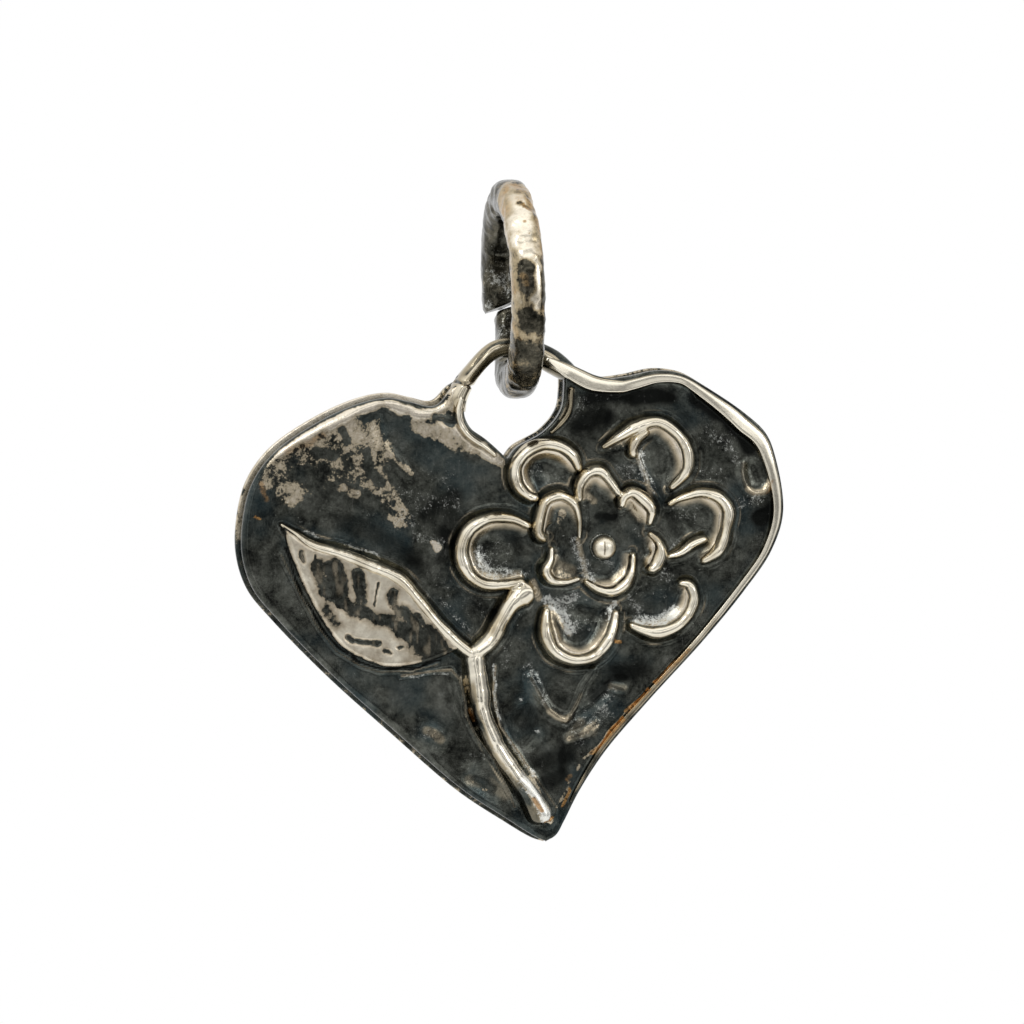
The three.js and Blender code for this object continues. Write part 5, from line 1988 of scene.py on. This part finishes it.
@dataclass
class BailArch:
    """The rod that bridges the cleft and hangs on the ring, and spreads over the lobes in two feet."""

    sheets: HeartSheets
    width: float = 0.85
    depth: float = 1.05
    groove: float = 0.15
    reach: float = 1.15
    left_spread: float = 1.35
    left_lean: float = 0.45
    right_spread: float = 0.6
    right_reach: float = 0.55
    step: float = 0.06
    sides: int = 41

    def line(self) -> Array:
        """Draws the arch's middle line.

        Returns:
            Its points, from the left foot to the right one.
        """
        left, right = self.sheets.left_foot, self.sheets.right_foot
        middle = FRAME.on_heart((-0.04, 0.0095, 0.93), (0, 0), (0.028, 0.0085, 1.1))
        places = np.vstack(
            [
                left.row(-self.reach, -self.left_lean, left.share * self.left_spread),
                left.row(-self.reach / 2, -0.4 * self.left_lean, left.share * (1 + self.left_spread) / 2),
                left.row(0.1 + self.width * left.share / 2, 0, left.share),
                middle,
                right.row(0.1 + self.width * right.share / 2, 0, right.share),
                right.row(-self.right_reach / 2, 0.06, right.share * (1 + self.right_spread) / 2),
                right.row(-self.right_reach, 0.12, right.share * self.right_spread),
            ]
        )
        return smoothed(places, self.step)

    def build(self, tree: BentWire, face: Face) -> None:
        """Bends the arch, brings its feet up to the face, cuts a line along its upper front and dresses it.

        Args:
            tree: what bends it.
            face: the ground under its feet.
        """
        line = self.line()
        half = self.depth / 2
        mesh = tree.bend(
            "arch", FRAME.in_space(line[:, :2], 0.0), line[:, 2],
            Width=self.width * MM, Height=half * MM, Foot=half * MM,
            Squareness=0.9, Unevenness=0.14, Wavelength=1.2 * MM,
            Seed=31.0, Stations=len(line), Sides=self.sides, Up=(0, -1, 0),
            Metal=WIRE_FINISH.metal(),
        )
        turn = math.tau * kept_values(mesh, "around")
        along = kept_values(mesh, "along") * (len(line) - 1) * self.step
        outward = np.minimum(along - self.reach, along.max() - along - self.right_reach)
        points = mesh_points(mesh)
        flat, _ = FRAME.on_face(points)
        stations = [-self.reach, -0.6, 0.0, 0.7, 1.5, 2.2]
        proud = np.interp(outward, stations, [0.7, 0.95, 1.0, 0.84, 0.62, half])
        fore = points[:, 1] < 0
        points[:, 1] *= np.where(fore, proud / half, 1)
        points[:, 1] -= MM * fore * np.sin(turn) * face.ground(flat) * smooth_step(0.4, -0.3, outward)
        move_points(mesh, points)
        run = np.column_stack([1.2 * along, np.zeros_like(along)])
        front = smooth_step(-0.5, 0.25, np.sin(turn))
        groove_from = np.where(along < 3, smooth_step(0.2, 0.6, outward), smooth_step(-0.5, 0.0, outward))
        line_cut = bell(turn - 0.85 - 0.15 * Grain(61).at(run, 1.0), 0.24) * groove_from
        notch = bell(outward - 0.1 + 0.1 * np.cos(turn), 0.07) * front * (along < 3)
        streaks = np.zeros(len(turn))
        for middle, seed in ((1.25, 62), (1.95, 64)):
            line_here = bell(turn - middle - 0.15 * Grain(seed).at(run, 0.9), 0.1)
            streaks = np.maximum(streaks, line_here * np.clip(0.45 + Grain(seed + 1).at(run, 0.8), 0, 1))
        grooved = np.maximum(line_cut, 0.8 * notch)
        cut = self.groove * grooved + 0.03 * streaks
        closed(mesh)
        move_points(mesh, points - MM * cut[:, None] * mesh_points(mesh, "normal"))
        wear_and_shading = 0.12 + 0.52 * front - 0.6 * grooved - 0.35 * streaks
        # Painted shade: the arch's outer flank is painted darker.
        wear_and_shading += 0.14 * Grain(66).at(flat, 0.5) - 0.3 * smooth_step(0.55, 0.95, np.cos(turn))
        past = smooth_step(0.5, 0.62, along / along.max())
        wear_and_shading -= past * 0.4 * smooth_step(0.1, 0.6, np.abs(np.cos(turn)))
        keep(mesh, Skin.WEAR_AND_SHADING, wear_and_shading)
        keep(mesh, Skin.FROST_GLINT, 0.1)
        keep(mesh, Skin.TARNISH, 0.25 * Grain(63).at(flat, 0.9))
        placed(mesh, WIRE_FINISH, Body.HEART, "bail_arch")


@dataclass
class JumpRing:
    """The open ring of squared wire, hammered, and cut at the back, where its ends don't quite meet."""

    outer: float = 10.0
    thickness: float = 1.65
    breadth: float = 1.5
    gap: float = 0.26
    gap_degrees: float = -14.0
    gap_slant: float = 0.3
    askew: float = 0.4
    bent_from: float = 282.0
    bent_to: float = 340.0
    thinned: float = 0.16
    thin_from: float = 290.0
    lean: float = 3.0
    blows: int = 190
    seed: int = 7
    stations: int = 420
    sides: int = 65

    @property
    def inner(self) -> float:
        """The inside radius."""
        return self.outer / 2 - self.thickness

    @property
    def axis(self) -> Array:
        """The direction of the ring's axis."""
        return np.array([math.cos(math.radians(self.lean)), 0, math.sin(math.radians(self.lean))])

    @property
    def rise(self) -> Array:
        """The direction from the ring's centre to its top."""
        return np.array([-math.sin(math.radians(self.lean)), 0, math.cos(math.radians(self.lean))])

    def build(self, tree: BentWire) -> None:
        """Bends the ring, hammers it and dresses it.

        Args:
            tree: what bends it.
        """
        middle = self.inner + self.thickness / 2 - 0.02
        half = self.gap / middle / 2
        angles = math.radians(self.gap_degrees) + np.linspace(half, math.tau - half, self.stations)
        path = np.outer(middle * np.cos(angles), [0, 1, 0])
        path += np.outer(middle * np.sin(angles) - self.inner, self.rise)
        bent_to = math.radians(self.bent_to)
        path += np.outer(self.askew * smooth_step(math.radians(self.bent_from), bent_to, angles), self.axis)
        ends = np.minimum(angles - angles[0], angles[-1] - angles) * middle
        shares = 1 - 0.14 * bell(ends, 0.12)
        shares -= self.thinned * smooth_step(math.radians(self.thin_from), bent_to, angles)
        mesh = tree.bend(
            "ring", MM * path, shares,
            Width=(self.thickness - 0.04) * MM, Height=(self.breadth / 2 - 0.01) * MM,
            Foot=self.breadth * MM, Squareness=0.72, Unevenness=0.1, Wavelength=1.1 * MM,
            Seed=3.0, Stations=self.stations, Sides=self.sides, Up=tuple(self.axis),
            Metal=RING_FINISH.metal(),
        )
        closed(mesh)
        points = mesh_points(mesh) / MM
        hammered = points - self.hammered(points)[:, None] * mesh_points(mesh, "normal")
        flat = self.unrolled(points)
        near_gap = np.interp(kept_values(mesh, "along"), np.linspace(0, 1, len(ends)), bell(ends, 0.7))
        hammered += np.outer(self.gap_slant * flat[:, 0] * near_gap, self.rise)
        move_points(mesh, MM * hammered)
        self.colour(mesh, points, flat)
        placed(mesh, RING_FINISH, Body.RING, "jump_ring")

    def unrolled(self, points: Array) -> Array:
        """Unrolls the ring.

        Args:
            points: in millimetres.

        Returns:
            How far they lie along the ring's axis, and how far round it from the front, upwards.
        """
        local = points + self.inner * self.rise
        turn = np.arctan2(local @ self.rise, -local[:, 1])
        return np.column_stack([local @ self.axis, self.outer / 2 * turn])

    def hammered(self, points: Array) -> Array:
        """Finds how deep the hammer marks are: shallow dents with soft ridges between them.

        Args:
            points: in millimetres.

        Returns:
            The depth at each point.
        """
        chance = np.random.default_rng(self.seed)
        depth = np.zeros(len(points))
        for struck in points[chance.integers(0, len(points), self.blows)]:
            radius = chance.uniform(0.25, 0.7)
            apart = np.linalg.norm(points - struck, axis=1) / radius
            depth = np.maximum(depth, chance.uniform(0.03, 0.09) * (1 - smooth_step(0.1, 1.0, apart)))
        return depth + 0.014 * Grain(71).at(points, 0.22) - 0.02

    def colour(self, mesh: Mesh, points: Array, flat: Array) -> None:
        """Dresses the ring: bright above in front, dark below and behind, with painted highlights and dark
        reflections among the rubbed metal, and brown blotches.

        Args:
            mesh: the ring's mesh.
            points: its points before they were hammered, in millimetres.
            flat: the same points, unrolled.
        """
        radius = np.linalg.norm((points + self.inner * self.rise)[:, 1:], axis=1)
        outside = smooth_step(self.inner + 0.35, self.inner + 0.8, radius)
        front = smooth_step(-0.3, 1.8, -points[:, 1]) * outside
        blotches = Grain(72).at(points, 0.7)
        ragged = wandering(flat, 0.09, 0.35)
        upper = 0.36 + 0.24 * smooth_step(-1.0, 2.5, flat[:, 1])
        # Painted highlights and dark reflections, with rubbed metal.
        wear_and_shading = painted(ragged, RING_WEAR_AND_REFLECTIONS, upper + 0.14 * blotches)
        keep(mesh, Skin.WEAR_AND_SHADING, front * wear_and_shading + (1 - front) * (0.16 + 0.12 * blotches))
        near_gap = smooth_step(-0.6, -3.0, points[:, 2]) * smooth_step(-7.0, -5.0, points[:, 2])
        keep(mesh, Skin.FROST_GLINT, (1 - front) * (0.24 + near_gap * (0.2 + 0.4 * Grain(73).at(points, 0.5))))
        capped = 0.16 * smooth_step(3.4, 5.0, flat[:, 1]) + 0.14 * smooth_step(0.3, 0.7, np.abs(flat[:, 0]))
        keep(mesh, Skin.TARNISH, front * painted(ragged, RING_STAINS, 0.2 + capped + 0.2 * blotches))


@dataclass
class Studio:
    """The floor, the soft light, the white surroundings and the camera."""

    azimuth: float = -9.6
    elevation: float = 4.0
    lens: float = 120.0
    seen: float = 46.78
    roll: float = 0.66
    aim: Place = (-0.086, -7.6)
    floor_below: float = 46.0
    floor_size: float = 200.0

    def build(self) -> None:
        """Builds everything round the pendant."""
        bpy.context.scene.view_settings.view_transform = "Standard"
        self.floor()
        self.world()
        self.lamps()
        self.camera()

    def floor(self) -> None:
        """Lays a plain pale floor well below the hanging pendant."""
        size = self.floor_size / 2 * MM
        level = CAD_BOX[0][2] - self.floor_below * MM
        corners = [(-size, -size, level), (size, -size, level), (size, size, level), (-size, size, level)]
        mesh = bpy.data.meshes.new("floor")
        mesh.from_pydata(corners, [], [(0, 1, 2, 3)])
        pale = bpy.data.materials.new("pale_floor")
        pale.use_nodes = True
        shader = pale.node_tree.nodes["Principled BSDF"]
        shader.inputs["Base Color"].default_value = (0.86, 0.86, 0.86, 1)
        shader.inputs["Roughness"].default_value = 0.9
        mesh.materials.append(pale)
        floor = bpy.data.objects.new("floor", mesh)
        bpy.context.scene.collection.objects.link(floor)

    def world(self) -> None:
        """Sets white surroundings, which metal reflects as soft boxes with dark gaps between them."""
        world = bpy.data.worlds.new("studio")
        bpy.context.scene.world = world
        world.use_nodes = True
        world.node_tree.nodes.clear()
        web = NodeWeb(world.node_tree)
        path = web.node("ShaderNodeLightPath").outputs
        seen = web.node("ShaderNodeTexCoord").outputs["Generated"]
        x, y, z = web.node("ShaderNodeSeparateXYZ", {0: seen}).outputs
        across = web.math("ADD", x, -0.17)
        up = web.math("ADD", z, 0.07)
        off = web.math("SQRT", web.math("ADD", web.times(across, across), web.times(up, up)))
        levels = [
            (0.0, 0.85), (0.13, 0.9), (0.22, 0.26), (0.33, 0.24), (0.45, 1.1), (0.64, 1.2), (0.76, 0.3),
            (0.83, 0.3), (0.9, 0.95), (1.0, 0.95),
        ]
        boxes = web.ramp(off, [(at, (level, level, level, 1)) for at, level in levels])
        sky = web.node("ShaderNodeMapRange", {0: z, 1: -0.6, 2: 0.6, 3: 0.5, 4: 1.25}).outputs[0]
        both = {0: 1.0, 6: boxes, 7: sky}
        front = web.node("ShaderNodeMix", both, data_type="RGBA", blend_type="MULTIPLY").outputs[2]
        studio = web.mix(web.threshold(y, 0.1, 0.25), front, WHITE)
        colour = web.mix(path["Is Camera Ray"], studio, WHITE)
        background = web.node("ShaderNodeBackground", {"Color": colour, "Strength": 1.0})
        web.node("ShaderNodeOutputWorld", {"Surface": background.outputs[0]})

    def lamps(self) -> None:
        """Hangs two soft lamps in front of the pendant."""
        target = (CAD_BOX[0] + CAD_BOX[1]) / 2
        for name, place, size, watts in (
            ("key", (-0.14, -0.2, 0.2), 0.07, 0.09),
            ("fill", (0.22, -0.18, 0.1), 0.08, 0.06),
        ):
            lamp = bpy.data.lights.new(name, "AREA")
            lamp.size = size
            lamp.energy = watts
            made = bpy.data.objects.new(name, lamp)
            made.location = target + Vector(place)
            made.rotation_euler = (-Vector(place)).to_track_quat("-Z", "Y").to_euler()
            bpy.context.scene.collection.objects.link(made)

    def camera(self) -> None:
        """Puts the camera where the photograph was taken from."""
        data = bpy.data.cameras.new("camera")
        data.lens = self.lens
        data.clip_start = 0.01
        camera = bpy.data.objects.new("camera", data)
        away = self.seen * MM * self.lens / data.sensor_width
        turn, rise = math.radians(self.azimuth), math.radians(self.elevation)
        level = math.cos(rise)
        towards = Vector((math.sin(turn) * level, -math.cos(turn) * level, math.sin(rise)))
        right = Vector((math.cos(turn), math.sin(turn), 0))
        aside = self.aim[0] * right + self.aim[1] * towards.cross(right)
        target = Vector(FRAME.hinge) + MM * aside
        camera.location = target + away * towards
        rolled = Quaternion((0, 0, 1), math.radians(self.roll))
        camera.rotation_euler = ((-towards).to_track_quat("-Z", "Y") @ rolled).to_euler()
        bpy.context.scene.collection.objects.link(camera)
        bpy.context.scene.camera = camera


def main() -> None:
    """Builds the pendant's looks, piece by piece, and the studio round it."""
    logging.basicConfig(level=logging.INFO, format="%(name)s: %(message)s")
    Studio().build()
    tree = BentWire()
    sheets = HeartSheets()
    wires = LaidWires(sheets)
    spray = wires.spray()
    face = Face([*spray, *wires.petals(), *wires.rims()])
    sheets.build(face)
    wires.build(face, tree)
    Leaf(spray[0]).build(face)
    Bead().build(face)
    BailArch(sheets).build(tree, face)
    JumpRing().build(tree)


if __name__ == "__main__":
    main()
